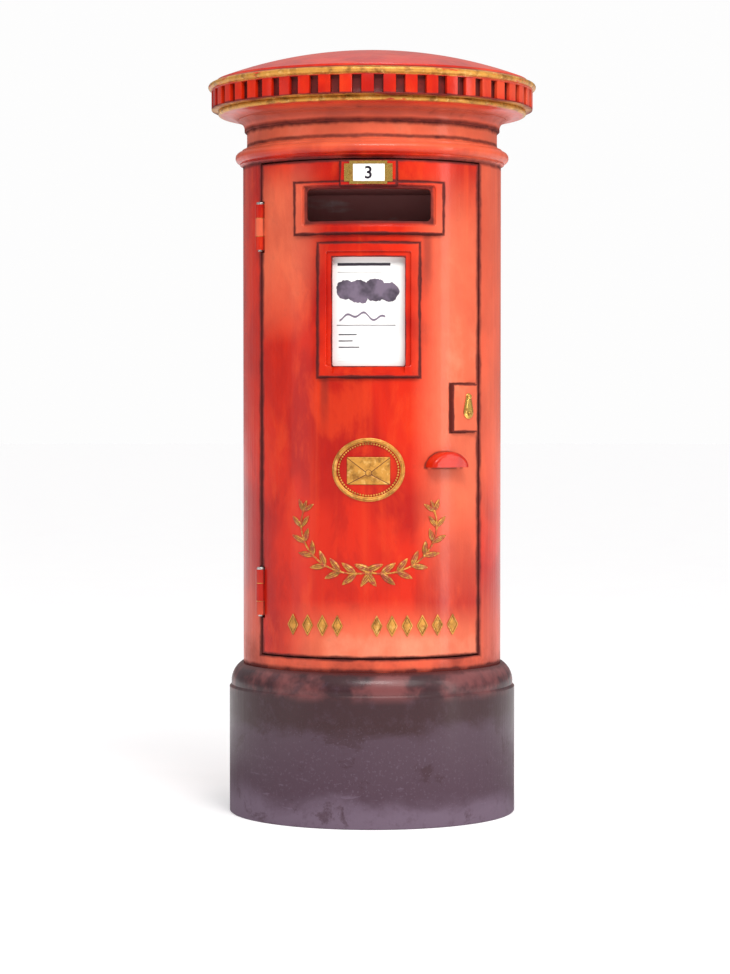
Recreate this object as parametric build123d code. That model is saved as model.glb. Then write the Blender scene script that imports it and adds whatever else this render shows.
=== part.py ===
"""Cast-iron roadside letter box: hollow plinth, round shell, domed cap, hung door, lock and letter guard.

Millimetres, +Z up. The origin is on the ground at the centre of the plinth. The door faces -Y.
Angles round the shell are degrees from the front (-Y), positive towards +X.
Pieces away from the front are drawn at the front, with x along the shell and -y outwards, then turned.
"""

import math
import os
from build123d import *

NO_ALIGN = (Align.NONE, Align.NONE, Align.NONE)
CUT = 400.0  # reach of a prism that only cuts or trims

# Plinth
PLINTH_R = 285.0
PLINTH_TOP_R = 262.0
PLINTH_TOP = 297.0
PLINTH_WALL = 18.0
SHOULDER_Z = 252.0
FOOT_FLANGE_R = 205.0
FOOT_FLANGE_T = 16.0
ANCHOR_PCR = 235.0
ANCHOR_HOLE_R = 11.0
SEAT_R = 185.0
SEAT_T = 14.0

# Shell
SHELL_R = 257.0
SHELL_IN = 245.0
SHELL_FLANGE_R = 212.0
SHELL_FLANGE_T = 12.0
COLLAR_R = 272.0
COLLAR_Z = 1280.0
NECK_R = 249.0
NECK_IN = 236.0
SHELL_TOP = 1351.0
RING_BOLT_R = 5.0
LOW_BOLT_PCR = 221.5
TOP_BOLT_PCR = 220.0
TOP_FLANGE_R = 205.0

# Doorway and door
DOOR_HALF = 55.0
DOOR_GAP = 2.5
DOOR_LOW = 325.0
DOOR_HIGH = 1277.0
DOOR_IN = 246.0
STOP_IN = 232.0
STOP_FACE = 244.5
STOP_LAP = 12.0
STOP_HALF = DOOR_HALF - 2.7
GAP_ANGLE = math.degrees(DOOR_GAP / SHELL_R)
RIB_IN = 239.0

# Hinges
HINGE_R = 259.0
HINGE_ANGLE = -(DOOR_HALF + GAP_ANGLE / 2)
HINGE_X = HINGE_R * math.sin(math.radians(HINGE_ANGLE))
HINGE_Y = -HINGE_R * math.cos(math.radians(HINGE_ANGLE))
HINGE_Z = (445.0, 1155.0)
KNUCKLE_R = 10.0
KNUCKLE_CLEAR = 11.5
KNUCKLE_HALF = 17.0
HINGE_HALF = 44.0
PIN_R = 5.0

# Posting slot, its frame and its number holder
SLOT_W = 236.0
SLOT_LOW = 1160.0
SLOT_HIGH = 1222.0
SLOT_FRAME_W = 286.0
SLOT_FRAME_LOW = 1136.0
SLOT_FRAME_HIGH = 1235.0
FRAME_PROUD = 9.0
FRAME_STEP = 4.5
TAB_BLOCK_W = 108.0
TAB_BLOCK_LOW = 1226.0
TAB_BLOCK_HIGH = 1275.0
TAB_FACE = 267.0
HOLDER_W = 72.0
HOLDER_H = 44.0
HOLDER_Z = 1251.0
HOLDER_T = 4.6
TAB_W = 62.0
TAB_H = 37.0
TAB_T = 1.8

# Notice window
NOTICE_W = 139.0
NOTICE_LOW = 884.0
NOTICE_HIGH = 1092.0
NOTICE_FRAME_W = 195.0
NOTICE_FRAME_LOW = 863.0
SILL_LOW = 869.0
NOTICE_FRAME_HIGH = 1119.0
NOTICE_HALF = 18.5
BUTTON_ANGLE = 21.5
BUTTON_Z = (920.0, 1056.0)
BUTTON_OUT = 237.6
BUTTON_T = 4.0

# Lock, in a frame turned to LOCK_ANGLE
LOCK_ANGLE = 44.0
KEY_X = 10.0
KEY_Z = 796.0
BOSS_FACE = 264.0
BOSS_W = 66.0
BOSS_LOW = 758.0
BOSS_HIGH = 850.0
LOCK_PAD = 237.0
CASE_X = (-50.0, 30.0)
CASE_Z = (757.0, 863.0)
CASE_IN = 208.0
CASE_WALL = 3.0
COVER_T = 3.0
BARREL_R = 9.0
CRANK = 7.0
CRANK_PIN_R = 2.0
BOLT_THROW = 2 * CRANK
BOLT_IN = 208.5
BOLT_T = 6.0
COVER_PIVOT_Z = 826.0
LEVER_POST = (-36.0, 846.0)
GUIDE_POST_X = -20.0

# Door pull
PULL_ANGLE = 34.5
PULL_W = 84.0
PULL_LOW = 690.0
PULL_H = 30.0
PULL_FACE = 282.0

# Cap
CAP_R = 326.0
CAP_TOP = 1510.0
DENTIL_COUNT = 48
DENTIL_W = 24.0
DENTIL_LOW = 1397.0
DENTIL_HIGH = 1431.0
DENTIL_BACK = 309.0
DENTIL_FRONT = 319.5

# Letter guard behind the door
GUARD_R = 195.0
GUARD_END = 50.0
GUARD_LOW = 342.0
GUARD_HIGH = 1090.0
GUARD_ROD_R = 3.0
GUARD_PIN_R = 4.0
JAMB_X = 37.0
JAMB_T = 3.0
CATCH_X = 31.0
CATCH_RADIAL = 206.0
CATCH_Z = 710.0

# Chute
CHUTE_HALF = 122.0
CHUTE_T = 2.0
CHUTE_FLANGE_IN = 243.5


def turned(shape, angle):
    """Turns a piece drawn at the front to an angle round the shell."""
    return Rot(0, 0, angle) * shape


def drum(radius, low, high):
    """Solid cylinder about Z."""
    return Pos(0, 0, low) * Cylinder(radius, high - low, align=NO_ALIGN)


def ring(inner, outer, low, high):
    """Tube about Z."""
    return drum(outer, low, high) - drum(inner, low, high)


def sector(inner, outer, start, end, low, high):
    """Piece of a tube between two angles from the front."""
    wedge = Cylinder(outer, high - low, arc_size=end - start, align=NO_ALIGN)
    core = Cylinder(inner, high - low, align=NO_ALIGN)
    return Pos(0, 0, low) * Rot(0, 0, start - 90) * (wedge - core)


def post(x, z, radius, inner, outer):
    """Round bar pointing outwards at the front, between two distances from the axis of the box."""
    bar = Cylinder(radius, outer - inner, align=NO_ALIGN)
    return Pos(x, -inner, z) * Rot(90, 0, 0) * bar


def hex_post(x, z, across, inner, outer):
    """Hexagonal bar pointing outwards at the front."""
    face = Plane.XZ * Pos(x, z) * RegularPolygon(across / 2, 6, major_radius=False)
    return Pos(0, -inner, 0) * extrude(face, outer - inner)


def block(x0, x1, inner, outer, low, high):
    """Box at the front, between two distances from the axis."""
    size = (x1 - x0, outer - inner, high - low)
    return Pos((x0 + x1) / 2, -(inner + outer) / 2, (low + high) / 2) * Box(*size)


def prism(outline, inner=0.0, outer=CUT):
    """Sketch in (x, z) pushed outwards at the front."""
    return Pos(0, -inner, 0) * extrude(Plane.XZ * outline, outer - inner)


def plate_outline(width, low, high, corner, x=0.0):
    """Rounded rectangle in (x, z)."""
    return Pos(x, (low + high) / 2) * RectangleRounded(width, high - low, corner)


def pad(outline, inner, outer):
    """Raised patch that follows the shell between two radii."""
    return prism(outline) & ring(inner, outer, 0, CAP_TOP)


def edges_at(shape, radius):
    """Edges that lie wholly on a cylinder about Z."""
    found = []
    for edge in shape.edges():
        points = [edge @ t for t in (0.0, 0.25, 0.5, 0.75, 1.0)]
        if all(abs(math.hypot(p.X, p.Y) - radius) < 0.01 for p in points):
            found.append(edge)
    return found


def softened(shape, radius, round_r):
    """Rounds the edges of a patch at its outer radius."""
    return fillet(edges_at(shape, radius), round_r)


def group(pieces):
    """Separate solids in one node."""
    return Compound([solid for piece in pieces for solid in piece.solids()])


def around(shape, count, start=0.0):
    """Copies of a piece, evenly spaced about Z."""
    return [turned(shape, start + i * 360 / count) for i in range(count)]


def lathe(path):
    """Solid of revolution from a closed (r, z) wire."""
    return revolve(Plane.XZ * make_face(path), Axis.Z)


def upright_bolt(pcr, head_low, shank_low, shank_high, head_h=7.0, across=17.0):
    """Hexagon bolt parallel to Z on a pitch circle."""
    head = Pos(0, -pcr, head_low) * extrude(RegularPolygon(across / 2, 6, major_radius=False), head_h)
    shank = Pos(0, -pcr, shank_low) * Cylinder(RING_BOLT_R, shank_high - shank_low, align=NO_ALIGN)
    return head + shank


def upright_nut(pcr, low, height=9.0, across=17.0):
    """Hexagon nut parallel to Z on a pitch circle."""
    body = Pos(0, -pcr, low) * extrude(RegularPolygon(across / 2, 6, major_radius=False), height)
    return body - Pos(0, -pcr, low) * Cylinder(RING_BOLT_R + 0.03, height, align=NO_ALIGN)


def plinth():
    """Hollow foot casting with an inside flange at the ground and a seat for the shell."""
    inner = PLINTH_R - PLINTH_WALL
    step = SHOULDER_Z + 3
    outline = [
        Line((FOOT_FLANGE_R, 0), (PLINTH_R - 2, 0)),
        Line((PLINTH_R - 2, 0), (PLINTH_R, 2)),
        Line((PLINTH_R, 2), (PLINTH_R, SHOULDER_Z - 2)),
        Line((PLINTH_R, SHOULDER_Z - 2), (PLINTH_R - 2, SHOULDER_Z)),
        Line((PLINTH_R - 2, SHOULDER_Z), (PLINTH_R - 4, step)),
        ThreePointArc((PLINTH_R - 4, step), (276.0, 281.0), (PLINTH_TOP_R, PLINTH_TOP)),
        Line((PLINTH_TOP_R, PLINTH_TOP), (SEAT_R, PLINTH_TOP)),
        Line((SEAT_R, PLINTH_TOP), (SEAT_R, PLINTH_TOP - SEAT_T)),
        Line((SEAT_R, PLINTH_TOP - SEAT_T), (240, PLINTH_TOP - SEAT_T)),
        Line((240, PLINTH_TOP - SEAT_T), (inner, 240)),
        Line((inner, 240), (inner, FOOT_FLANGE_T)),
        Line((inner, FOOT_FLANGE_T), (FOOT_FLANGE_R, FOOT_FLANGE_T)),
        Line((FOOT_FLANGE_R, FOOT_FLANGE_T), (FOOT_FLANGE_R, 0)),
    ]
    body = lathe(outline)
    anchor = Pos(0, -ANCHOR_PCR, -1) * Cylinder(ANCHOR_HOLE_R, FOOT_FLANGE_T + 2, align=NO_ALIGN)
    bolt_hole = Pos(0, -LOW_BOLT_PCR, 280) * Cylinder(5.5, 20, align=NO_ALIGN)
    floor_hole = Pos(0, -198, 288) * Cylinder(3.02, 12, align=NO_ALIGN)
    cuts = around(anchor, 4, 45) + around(bolt_hole, 6, 30) + around(floor_hole, 4, 45)
    return body - cuts


def shell():
    """Round body casting: walls, collar, neck, bolting flanges, door rebate and fixed hinge knuckles."""
    outline = [
        Line((SHELL_FLANGE_R, PLINTH_TOP), (SHELL_R, PLINTH_TOP)),
        Line((SHELL_R, PLINTH_TOP), (SHELL_R, COLLAR_Z)),
        ThreePointArc((SHELL_R, COLLAR_Z), (258.7, COLLAR_Z + 4.3), (263, COLLAR_Z + 6)),
        Line((263, COLLAR_Z + 6), (263, COLLAR_Z + 9)),
        ThreePointArc((263, COLLAR_Z + 9), (COLLAR_R, COLLAR_Z + 20), (263, COLLAR_Z + 31)),
        Line((263, COLLAR_Z + 31), (259, COLLAR_Z + 31)),
        Line((259, COLLAR_Z + 31), (259, COLLAR_Z + 35)),
        ThreePointArc((259, COLLAR_Z + 35), (252, COLLAR_Z + 38), (NECK_R, COLLAR_Z + 45)),
        Line((NECK_R, COLLAR_Z + 45), (NECK_R, SHELL_TOP)),
        Line((NECK_R, SHELL_TOP), (TOP_FLANGE_R, SHELL_TOP)),
        Line((TOP_FLANGE_R, SHELL_TOP), (TOP_FLANGE_R, SHELL_TOP - SHELL_FLANGE_T)),
        Line((TOP_FLANGE_R, SHELL_TOP - SHELL_FLANGE_T), (NECK_IN, SHELL_TOP - SHELL_FLANGE_T)),
        Line((NECK_IN, SHELL_TOP - SHELL_FLANGE_T), (NECK_IN, SHELL_TOP - 30)),
        Line((NECK_IN, SHELL_TOP - 30), (SHELL_IN, SHELL_TOP - 45)),
        Line((SHELL_IN, SHELL_TOP - 45), (SHELL_IN, PLINTH_TOP + SHELL_FLANGE_T)),
        Line((SHELL_IN, PLINTH_TOP + SHELL_FLANGE_T), (SHELL_FLANGE_R, PLINTH_TOP + SHELL_FLANGE_T)),
        Line((SHELL_FLANGE_R, PLINTH_TOP + SHELL_FLANGE_T), (SHELL_FLANGE_R, PLINTH_TOP)),
    ]
    body = lathe(outline)
    body += sector(STOP_IN, SHELL_IN + 1, -61, 61, PLINTH_TOP + 5, DOOR_HIGH + STOP_LAP)
    low, high = DOOR_LOW - DOOR_GAP, DOOR_HIGH + DOOR_GAP
    half = DOOR_HALF + GAP_ANGLE
    body -= sector(STOP_FACE, SHELL_R + 5, -half, half, low, high)
    body -= sector(220, STOP_FACE + 1, -STOP_HALF, STOP_HALF, DOOR_LOW + STOP_LAP, DOOR_HIGH - STOP_LAP)
    for z in HINGE_Z:
        for low, high in ((z - HINGE_HALF, z - KNUCKLE_HALF - 1), (z + KNUCKLE_HALF + 1, z + HINGE_HALF)):
            body += Pos(HINGE_X, HINGE_Y, low) * Cylinder(KNUCKLE_R, high - low, align=NO_ALIGN)
        body -= hinge_clearance(z - KNUCKLE_HALF - 1, z + KNUCKLE_HALF + 1)
        body -= hinge_bore(z, PIN_R + 0.03)
        body -= Pos(HINGE_X, HINGE_Y, z + HINGE_HALF) * Cylinder(8.6, 7, align=NO_ALIGN)
    bolt_holes = around(Pos(0, -LOW_BOLT_PCR, 295) * Cylinder(5.5, 18, align=NO_ALIGN), 6, 30)
    bolt_holes += around(Pos(0, -TOP_BOLT_PCR, 1335) * Cylinder(5.5, 20, align=NO_ALIGN), 6, 30)
    screw_holes = [turned(post(0, z, 3.02, 225, 241), side * 58.5) for side in (-1, 1) for z in jamb_screw_z()]
    return body - bolt_holes - screw_holes


def hinge_clearance(low, high):
    """Room for the other half's knuckle."""
    return Pos(HINGE_X, HINGE_Y, low) * Cylinder(KNUCKLE_CLEAR, high - low, align=NO_ALIGN)


def hinge_bore(z, radius):
    """Hole for a hinge pin through one hinge."""
    low = z - HINGE_HALF - 4
    return Pos(HINGE_X, HINGE_Y, low) * Cylinder(radius, 2 * HINGE_HALF + 10, align=NO_ALIGN)


def hinge_pin(z):
    """Steel pin with a domed head."""
    shank = Pos(HINGE_X, HINGE_Y, z - HINGE_HALF - 3) * Cylinder(PIN_R, 2 * HINGE_HALF + 3, align=NO_ALIGN)
    head = Pos(HINGE_X, HINGE_Y, z + HINGE_HALF) * Cylinder(8, 5, align=NO_ALIGN)
    head = fillet(head.edges().group_by(Axis.Z)[-1], 2.5)
    return shank + head


def hinge_washers():
    """Bronze washers between the knuckles."""
    washers = []
    for z in HINGE_Z:
        for low in (z - KNUCKLE_HALF - 0.95, z + KNUCKLE_HALF + 0.05):
            disc = Cylinder(9.5, 0.9, align=NO_ALIGN) - Cylinder(PIN_R + 0.1, 0.9, align=NO_ALIGN)
            washers.append(Pos(HINGE_X, HINGE_Y, low) * disc)
    return group(washers)


def jamb_screw_z():
    """Heights of the screws that hold each guard jamb."""
    return (380.0, 600.0, 890.0, 1050.0)


def door():
    """Curved door casting with its raised frames, lock boss, inside rib, lock pad and hinge knuckles."""
    plate = sector(DOOR_IN, SHELL_R, -DOOR_HALF, DOOR_HALF, DOOR_LOW, DOOR_HIGH)
    plate = softened(plate, SHELL_R, 2.0)
    rib_half = STOP_HALF - 0.8
    rib_low, rib_high = DOOR_LOW + STOP_LAP + 3, DOOR_HIGH - STOP_LAP - 3
    rib = sector(RIB_IN, DOOR_IN + 1, -rib_half, rib_half, rib_low, rib_high)
    rib -= sector(RIB_IN - 5, DOOR_IN + 5, 4 - rib_half, rib_half - 4, rib_low + 14, rib_high - 14)
    plate += rib
    plate += slot_frame() + notice_frame() + lock_boss()
    plate += turned(block(CASE_X[0] - 1, CASE_X[1] + 1, LOCK_PAD, 251, CASE_Z[0] - 16, CASE_Z[1] + 16), LOCK_ANGLE)
    plate -= prism(slot_outline(), 0, SHELL_R)
    plate -= prism(plate_outline(NOTICE_W, NOTICE_LOW, NOTICE_HIGH, 4))
    plate -= turned(post(KEY_X, KEY_Z, BARREL_R + 0.08, 230, 270), LOCK_ANGLE)
    plate -= [turned(post(x, z, 4.02, 230, 252), LOCK_ANGLE) for x, z in lock_bolt_places()]
    plate -= turned(post(KEY_X, COVER_PIVOT_Z, 2.5, 255, 270), LOCK_ANGLE)
    plate -= [turned(post(0, z, 3.02, 240, 253), a) for a, z in chute_bolt_places()]
    plate -= [turned(post(0, z, 3.52, 240, 252), a) for a, z in button_places()]
    plate -= [turned(post(x, PULL_LOW + 8, 3.1, 240, 262), PULL_ANGLE) for x in pull_bolt_x()]
    plate -= [post(x, HOLDER_Z, 1.52, 258, TAB_FACE + 1) for x in holder_screw_x()]
    for z in HINGE_Z:
        plate -= hinge_clearance(z - HINGE_HALF - 6, z - KNUCKLE_HALF)
        plate -= hinge_clearance(z + KNUCKLE_HALF, z + HINGE_HALF + 6)
        plate += Pos(HINGE_X, HINGE_Y, z - KNUCKLE_HALF) * Cylinder(KNUCKLE_R, 2 * KNUCKLE_HALF, align=NO_ALIGN)
        plate -= hinge_bore(z, PIN_R + 0.05)
    return plate


def slot_outline():
    """Outline of the posting slot."""
    return plate_outline(SLOT_W, SLOT_LOW, SLOT_HIGH, 9)


def slot_frame():
    """Raised moulding round the posting slot, with a flat block above it for the number holder."""
    outer = plate_outline(SLOT_FRAME_W, SLOT_FRAME_LOW, SLOT_FRAME_HIGH, 5)
    inner = plate_outline(SLOT_W + 18, SLOT_LOW - 9, SLOT_HIGH + 6, 6)
    top = SHELL_R + FRAME_PROUD
    moulding = pad(outer, DOOR_IN + 2, top) - pad(inner, top - FRAME_STEP, top + 5)
    moulding -= prism(slot_outline())
    moulding = softened(moulding, top, 2.0)
    moulding = softened(moulding, top - FRAME_STEP, 1.5)
    half = TAB_BLOCK_W / 2
    seat = block(-half, half, DOOR_IN + 2, TAB_FACE, TAB_BLOCK_LOW, TAB_BLOCK_HIGH)
    seat = fillet(seat.edges().group_by(Axis.Y)[0], 2.0)
    return moulding + seat


def notice_frame():
    """Raised moulding round the notice window, with a sloping sill."""
    outer = plate_outline(NOTICE_FRAME_W, NOTICE_FRAME_LOW, NOTICE_FRAME_HIGH, 4)
    step = plate_outline(NOTICE_W + 22, NOTICE_LOW, NOTICE_HIGH + 10, 4)
    top = SHELL_R + FRAME_PROUD
    moulding = pad(outer, DOOR_IN + 2, top) - pad(step, top - FRAME_STEP, top + 5)
    moulding = softened(moulding, top, 1.8)
    slope = Polyline((top + 1, SILL_LOW), (top + 1, NOTICE_LOW + 1), (DOOR_IN + 6, NOTICE_LOW + 1), close=True)
    return moulding - (lathe(slope) & block(-NOTICE_W / 2, NOTICE_W / 2, 0, CUT, SILL_LOW, NOTICE_LOW + 1))


def lock_boss():
    """Flat-faced boss that carries the keyhole."""
    x0 = KEY_X - 7 - BOSS_W / 2
    boss = block(x0, x0 + BOSS_W, DOOR_IN + 2, BOSS_FACE, BOSS_LOW, BOSS_HIGH)
    boss = fillet(boss.edges().group_by(Axis.Y)[0], 2.5)
    return turned(boss, LOCK_ANGLE)


def pull_bolt_x():
    """Places of the two bolts that hold the door pull."""
    return (-34.0, 34.0)


def door_pull():
    """Hooded finger pull, open underneath."""
    arch = Pos(0, PULL_LOW) * Ellipse(PULL_W / 2, PULL_H)
    arch &= Pos(0, PULL_LOW + CUT / 2) * Rectangle(CUT, CUT)
    hood = prism(arch, SHELL_R - 15, PULL_FACE)
    hood = fillet(hood.edges().group_by(Axis.Y)[0].filter_by(GeomType.ELLIPSE), 8.0)
    hollow = Pos(0, PULL_LOW) * Ellipse(PULL_W / 2 - 15, PULL_H - 8)
    hood -= prism(hollow, SHELL_R - 20, PULL_FACE - 7)
    bolt_holes = [post(x, PULL_LOW + 8, 3.02, 240, 268) for x in pull_bolt_x()]
    return turned(hood - drum(SHELL_R, 0, CAP_TOP) - bolt_holes, PULL_ANGLE)


def pull_bolts():
    """Two bolts from inside the door into the pull."""
    bolts = []
    for x in pull_bolt_x():
        rim = math.sqrt(DOOR_IN**2 - (abs(x) + 6) ** 2)
        z = PULL_LOW + 8
        bolts.append(turned(post(x, z, 3.0, rim - 1, 266) + hex_post(x, z, 10, rim - 4, rim), PULL_ANGLE))
    return group(bolts)


def holder_screw_x():
    """Places of the number holder's two screws."""
    return (-41.5, 41.5)


def number_holder():
    """Brass channel, open at its right end."""
    back = block(-46, 46, TAB_FACE, TAB_FACE + 1.4, HOLDER_Z - 17, HOLDER_Z + 17)
    low, high = HOLDER_Z - HOLDER_H / 2, HOLDER_Z + HOLDER_H / 2
    body = block(-HOLDER_W / 2, HOLDER_W / 2, TAB_FACE, TAB_FACE + HOLDER_T, low, high)
    slot_half = TAB_H / 2 + 0.3
    inner = TAB_FACE + 1.4
    channel = block(-TAB_W / 2 - 0.3, 60, inner, inner + TAB_T + 0.3, HOLDER_Z - slot_half, HOLDER_Z + slot_half)
    window = block(-TAB_W / 2 + 2, 60, inner, CUT, HOLDER_Z - slot_half + 2.3, HOLDER_Z + slot_half - 2.3)
    body = body + back - channel - window
    for x in holder_screw_x():
        body -= post(x, HOLDER_Z, 1.6, TAB_FACE - 1, TAB_FACE + 3)
    return body


def holder_screws():
    """Two small screws, flush with the holder's back so that the number plate passes over them."""
    return group([post(x, HOLDER_Z, 1.5, 259, TAB_FACE + 1.35) for x in holder_screw_x()])


def number_plate():
    """Enamelled plate that slides out of the holder to the right."""
    inner = TAB_FACE + 1.55
    low, high = HOLDER_Z - TAB_H / 2, HOLDER_Z + TAB_H / 2
    plate = block(-TAB_W / 2, TAB_W / 2, inner, inner + TAB_T, low, high)
    return fillet(plate.edges().filter_by(Axis.Y), 2.0)


def notice_plate():
    """Curved enamelled sheet behind the notice window."""
    return sector(243.4, 245.9, -NOTICE_HALF, NOTICE_HALF, NOTICE_LOW - 10, NOTICE_HIGH + 10)


def notice_backplate():
    """Steel sheet that presses the notice against the door."""
    return sector(240.3, 243.3, 1 - NOTICE_HALF, NOTICE_HALF - 1, NOTICE_LOW - 4, NOTICE_HIGH + 4)


def button_places():
    """Angle and height of the four turn buttons."""
    return [(side * BUTTON_ANGLE, z) for side in (-1, 1) for z in BUTTON_Z]


def button_studs():
    """Shouldered studs that the turn buttons pivot on."""
    studs = []
    for angle, z in button_places():
        stud = post(0, z, 3.5, BUTTON_OUT - BUTTON_T - 0.3, 251)
        stud += post(0, z, 5.5, BUTTON_OUT + 0.2, DOOR_IN - 0.15)
        stud += post(0, z, 6.0, BUTTON_OUT - BUTTON_T - 3.5, BUTTON_OUT - BUTTON_T - 0.2)
        studs.append(turned(stud, angle))
    return group(studs)


def turn_button(angle, z):
    """Turn button pointing over the edge of the notice's back plate."""
    towards = -1 if angle > 0 else 1
    bar = Pos(towards * 10, z) * SlotOverall(44, 13)
    button = prism(bar, BUTTON_OUT - BUTTON_T, BUTTON_OUT)
    return turned(button - post(0, z, 3.6, BUTTON_OUT - 10, BUTTON_OUT + 5), angle)


def chute_bolt_places():
    """Angle and height of the chute's six bolts."""
    return [(side * 33.2, z) for side in (-1, 1) for z in (1150.0, 1191.0, 1230.0)]


def letter_chute():
    """Folded sheet that turns letters down behind the guard."""
    t = CHUTE_T
    half = CHUTE_HALF
    front, back, outlet = -250.0, -125.0, -184.0
    low, lip = 1106.0, 1113.0
    mouth_low, mouth_high = SLOT_LOW - 12, SLOT_HIGH + 10
    side = Polyline((front, mouth_high), (back, mouth_high - 12), (back, low), (outlet, low), (outlet, lip),
                    (front, mouth_low + 4), close=True)
    cheek = extrude(Plane.YZ * make_face(side), t)
    top = Polyline((front, mouth_high), (back, mouth_high - 12), (back, mouth_high - 12 - t),
                   (front, mouth_high - t), close=True)
    ramp = Polyline((front, mouth_low + 4), (outlet, lip), (outlet, lip + t), (front, mouth_low + 4 + t),
                    close=True)
    body = Pos(half, 0, 0) * cheek + Pos(-half - t, 0, 0) * cheek
    for sheet in (top, ramp):
        body += Pos(-half - t, 0, 0) * extrude(Plane.YZ * make_face(sheet), 2 * (half + t))
    body += block(-half - t, half + t, -back, t - back, low, mouth_high - 12)
    body &= drum(CHUTE_FLANGE_IN + 0.2, 1000, 1300)
    flange = sector(CHUTE_FLANGE_IN, DOOR_IN - 0.05, -35.5, 35.5, mouth_low - 11, mouth_high + 11)
    mouth = prism(plate_outline(2 * half, mouth_low + 2, mouth_high - t, 2))
    body += flange - mouth
    return body - [turned(post(0, z, 3.2, 235, 250), a) for a, z in chute_bolt_places()]


def chute_bolts():
    """Six bolts into blind holes in the door."""
    bolts = []
    for angle, z in chute_bolt_places():
        head = hex_post(0, z, 10, CHUTE_FLANGE_IN - 4.2, CHUTE_FLANGE_IN - 0.2)
        bolts.append(turned(post(0, z, 3.0, CHUTE_FLANGE_IN - 1, 252.5) + head, angle))
    return group(bolts)


def lock_bolt_places():
    """Places of the four bolts that hold the lock case, in the lock's frame."""
    return [(x, z) for x in (-34.0, 14.0) for z in (CASE_Z[0] - 7, CASE_Z[1] + 7)]


def lock_case():
    """Open steel box with fixing lugs, on the door's lock pad."""
    case = block(CASE_X[0], CASE_X[1], CASE_IN, LOCK_PAD, CASE_Z[0], CASE_Z[1])
    w = CASE_WALL
    case -= block(CASE_X[0] + w, CASE_X[1] - w, CASE_IN - 1, LOCK_PAD - w, CASE_Z[0] + w, CASE_Z[1] - w)
    for x, z in lock_bolt_places():
        case += block(x - 9, x + 9, LOCK_PAD - 5, LOCK_PAD, z - 7, z + 7)
        case -= post(x, z, 4.1, LOCK_PAD - 6, LOCK_PAD + 1)
    case -= block(CASE_X[1] - w - 1, CASE_X[1] + 1, BOLT_IN - 0.3, BOLT_IN + 8.3, 806.7, 832.3)
    case -= post(KEY_X, KEY_Z, BARREL_R + 0.3, LOCK_PAD - w - 1, LOCK_PAD + 1)
    for x, z in cover_screw_places():
        case += post(x, z, 4.5, CASE_IN, LOCK_PAD - w + 0.5)
        case -= post(x, z, 2.02, CASE_IN - 1, CASE_IN + 12)
    return turned(case, LOCK_ANGLE)


def cover_screw_places():
    """Places of the lock cover's four screws, in the lock's frame."""
    return [(x, z) for x in (CASE_X[0] + 7, CASE_X[1] - 7) for z in (CASE_Z[0] + 7, CASE_Z[1] - 7)]


def lock_cover():
    """Flat cover of the lock case."""
    cover = block(CASE_X[0], CASE_X[1], CASE_IN - COVER_T, CASE_IN - 0.05, CASE_Z[0], CASE_Z[1])
    cover -= [post(x, z, 2.2, CASE_IN - 10, CASE_IN + 1) for x, z in cover_screw_places()]
    cover -= post(LEVER_POST[0], LEVER_POST[1], 4.1, CASE_IN - 10, CASE_IN + 1)
    return turned(cover, LOCK_ANGLE)


def cover_screws():
    """Four round-headed screws of the lock cover."""
    screws = []
    for x, z in cover_screw_places():
        head = post(x, z, 3.8, CASE_IN - COVER_T - 2.6, CASE_IN - COVER_T - 0.05)
        slot = block(x - 5, x + 5, CASE_IN - COVER_T - 3, CASE_IN - COVER_T - 1.6, z - 0.5, z + 0.5)
        screws.append(turned(head + post(x, z, 2.0, CASE_IN - COVER_T - 1, CASE_IN + 11) - slot, LOCK_ANGLE))
    return group(screws)


def lock_bolts():
    """Four bolts that hold the lock case to the door."""
    bolts = []
    for x, z in lock_bolt_places():
        head = hex_post(x, z, 13, LOCK_PAD - 10.4, LOCK_PAD - 5.1)
        bolts.append(turned(head + post(x, z, 4.0, LOCK_PAD - 6, 251), LOCK_ANGLE))
    return group(bolts)


def deadbolt():
    """Sliding bolt, drawn back. A slot takes the crank pin, and another rides on the guide post."""
    plate = block(-42, 10, BOLT_IN, BOLT_IN + BOLT_T, 786, 832)
    head = block(8, CASE_X[1] - 0.5, BOLT_IN, BOLT_IN + 8, 807, 832)
    pin_x = KEY_X - CRANK
    crank_slot = block(pin_x - 3.7, pin_x + 3.7, BOLT_IN - 1, BOLT_IN + 10, KEY_Z - 4, KEY_Z + 11)
    guide_slot = block(GUIDE_POST_X - BOLT_THROW - 3, GUIDE_POST_X + 3, BOLT_IN - 1, BOLT_IN + 10, KEY_Z - 3,
                       KEY_Z + 3)
    return turned(plate + head - crank_slot - guide_slot, LOCK_ANGLE)


def key_barrel():
    """Turning barrel with a key slot outside and a crank pin inside."""
    barrel = post(KEY_X, KEY_Z, BARREL_R, BOLT_IN + 8, BOSS_FACE - 1)
    barrel += post(KEY_X, KEY_Z, 11.5, LOCK_PAD - 7, LOCK_PAD - 3.5)
    barrel += post(KEY_X, KEY_Z, BARREL_R + 1.5, BOLT_IN + 8, BOLT_IN + 11)
    barrel += post(KEY_X - CRANK, KEY_Z, CRANK_PIN_R, BOLT_IN + 0.5, BOLT_IN + 9)
    barrel -= post(KEY_X, KEY_Z + 2.5, 3.0, BOSS_FACE - 14, BOSS_FACE + 1)
    barrel -= block(KEY_X - 1.4, KEY_X + 1.4, BOSS_FACE - 14, BOSS_FACE + 1, KEY_Z - 6.5, KEY_Z + 2)
    return turned(barrel, LOCK_ANGLE)


def lock_posts():
    """Lever pivot and bolt guide, fixed in the case."""
    pivot = post(LEVER_POST[0], LEVER_POST[1], 4.0, CASE_IN - 2.5, LOCK_PAD - 3.05)
    guide = post(GUIDE_POST_X, KEY_Z, 2.5, CASE_IN + 0.1, LOCK_PAD - 3.05)
    return group([turned(pivot, LOCK_ANGLE), turned(guide, LOCK_ANGLE)])


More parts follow.
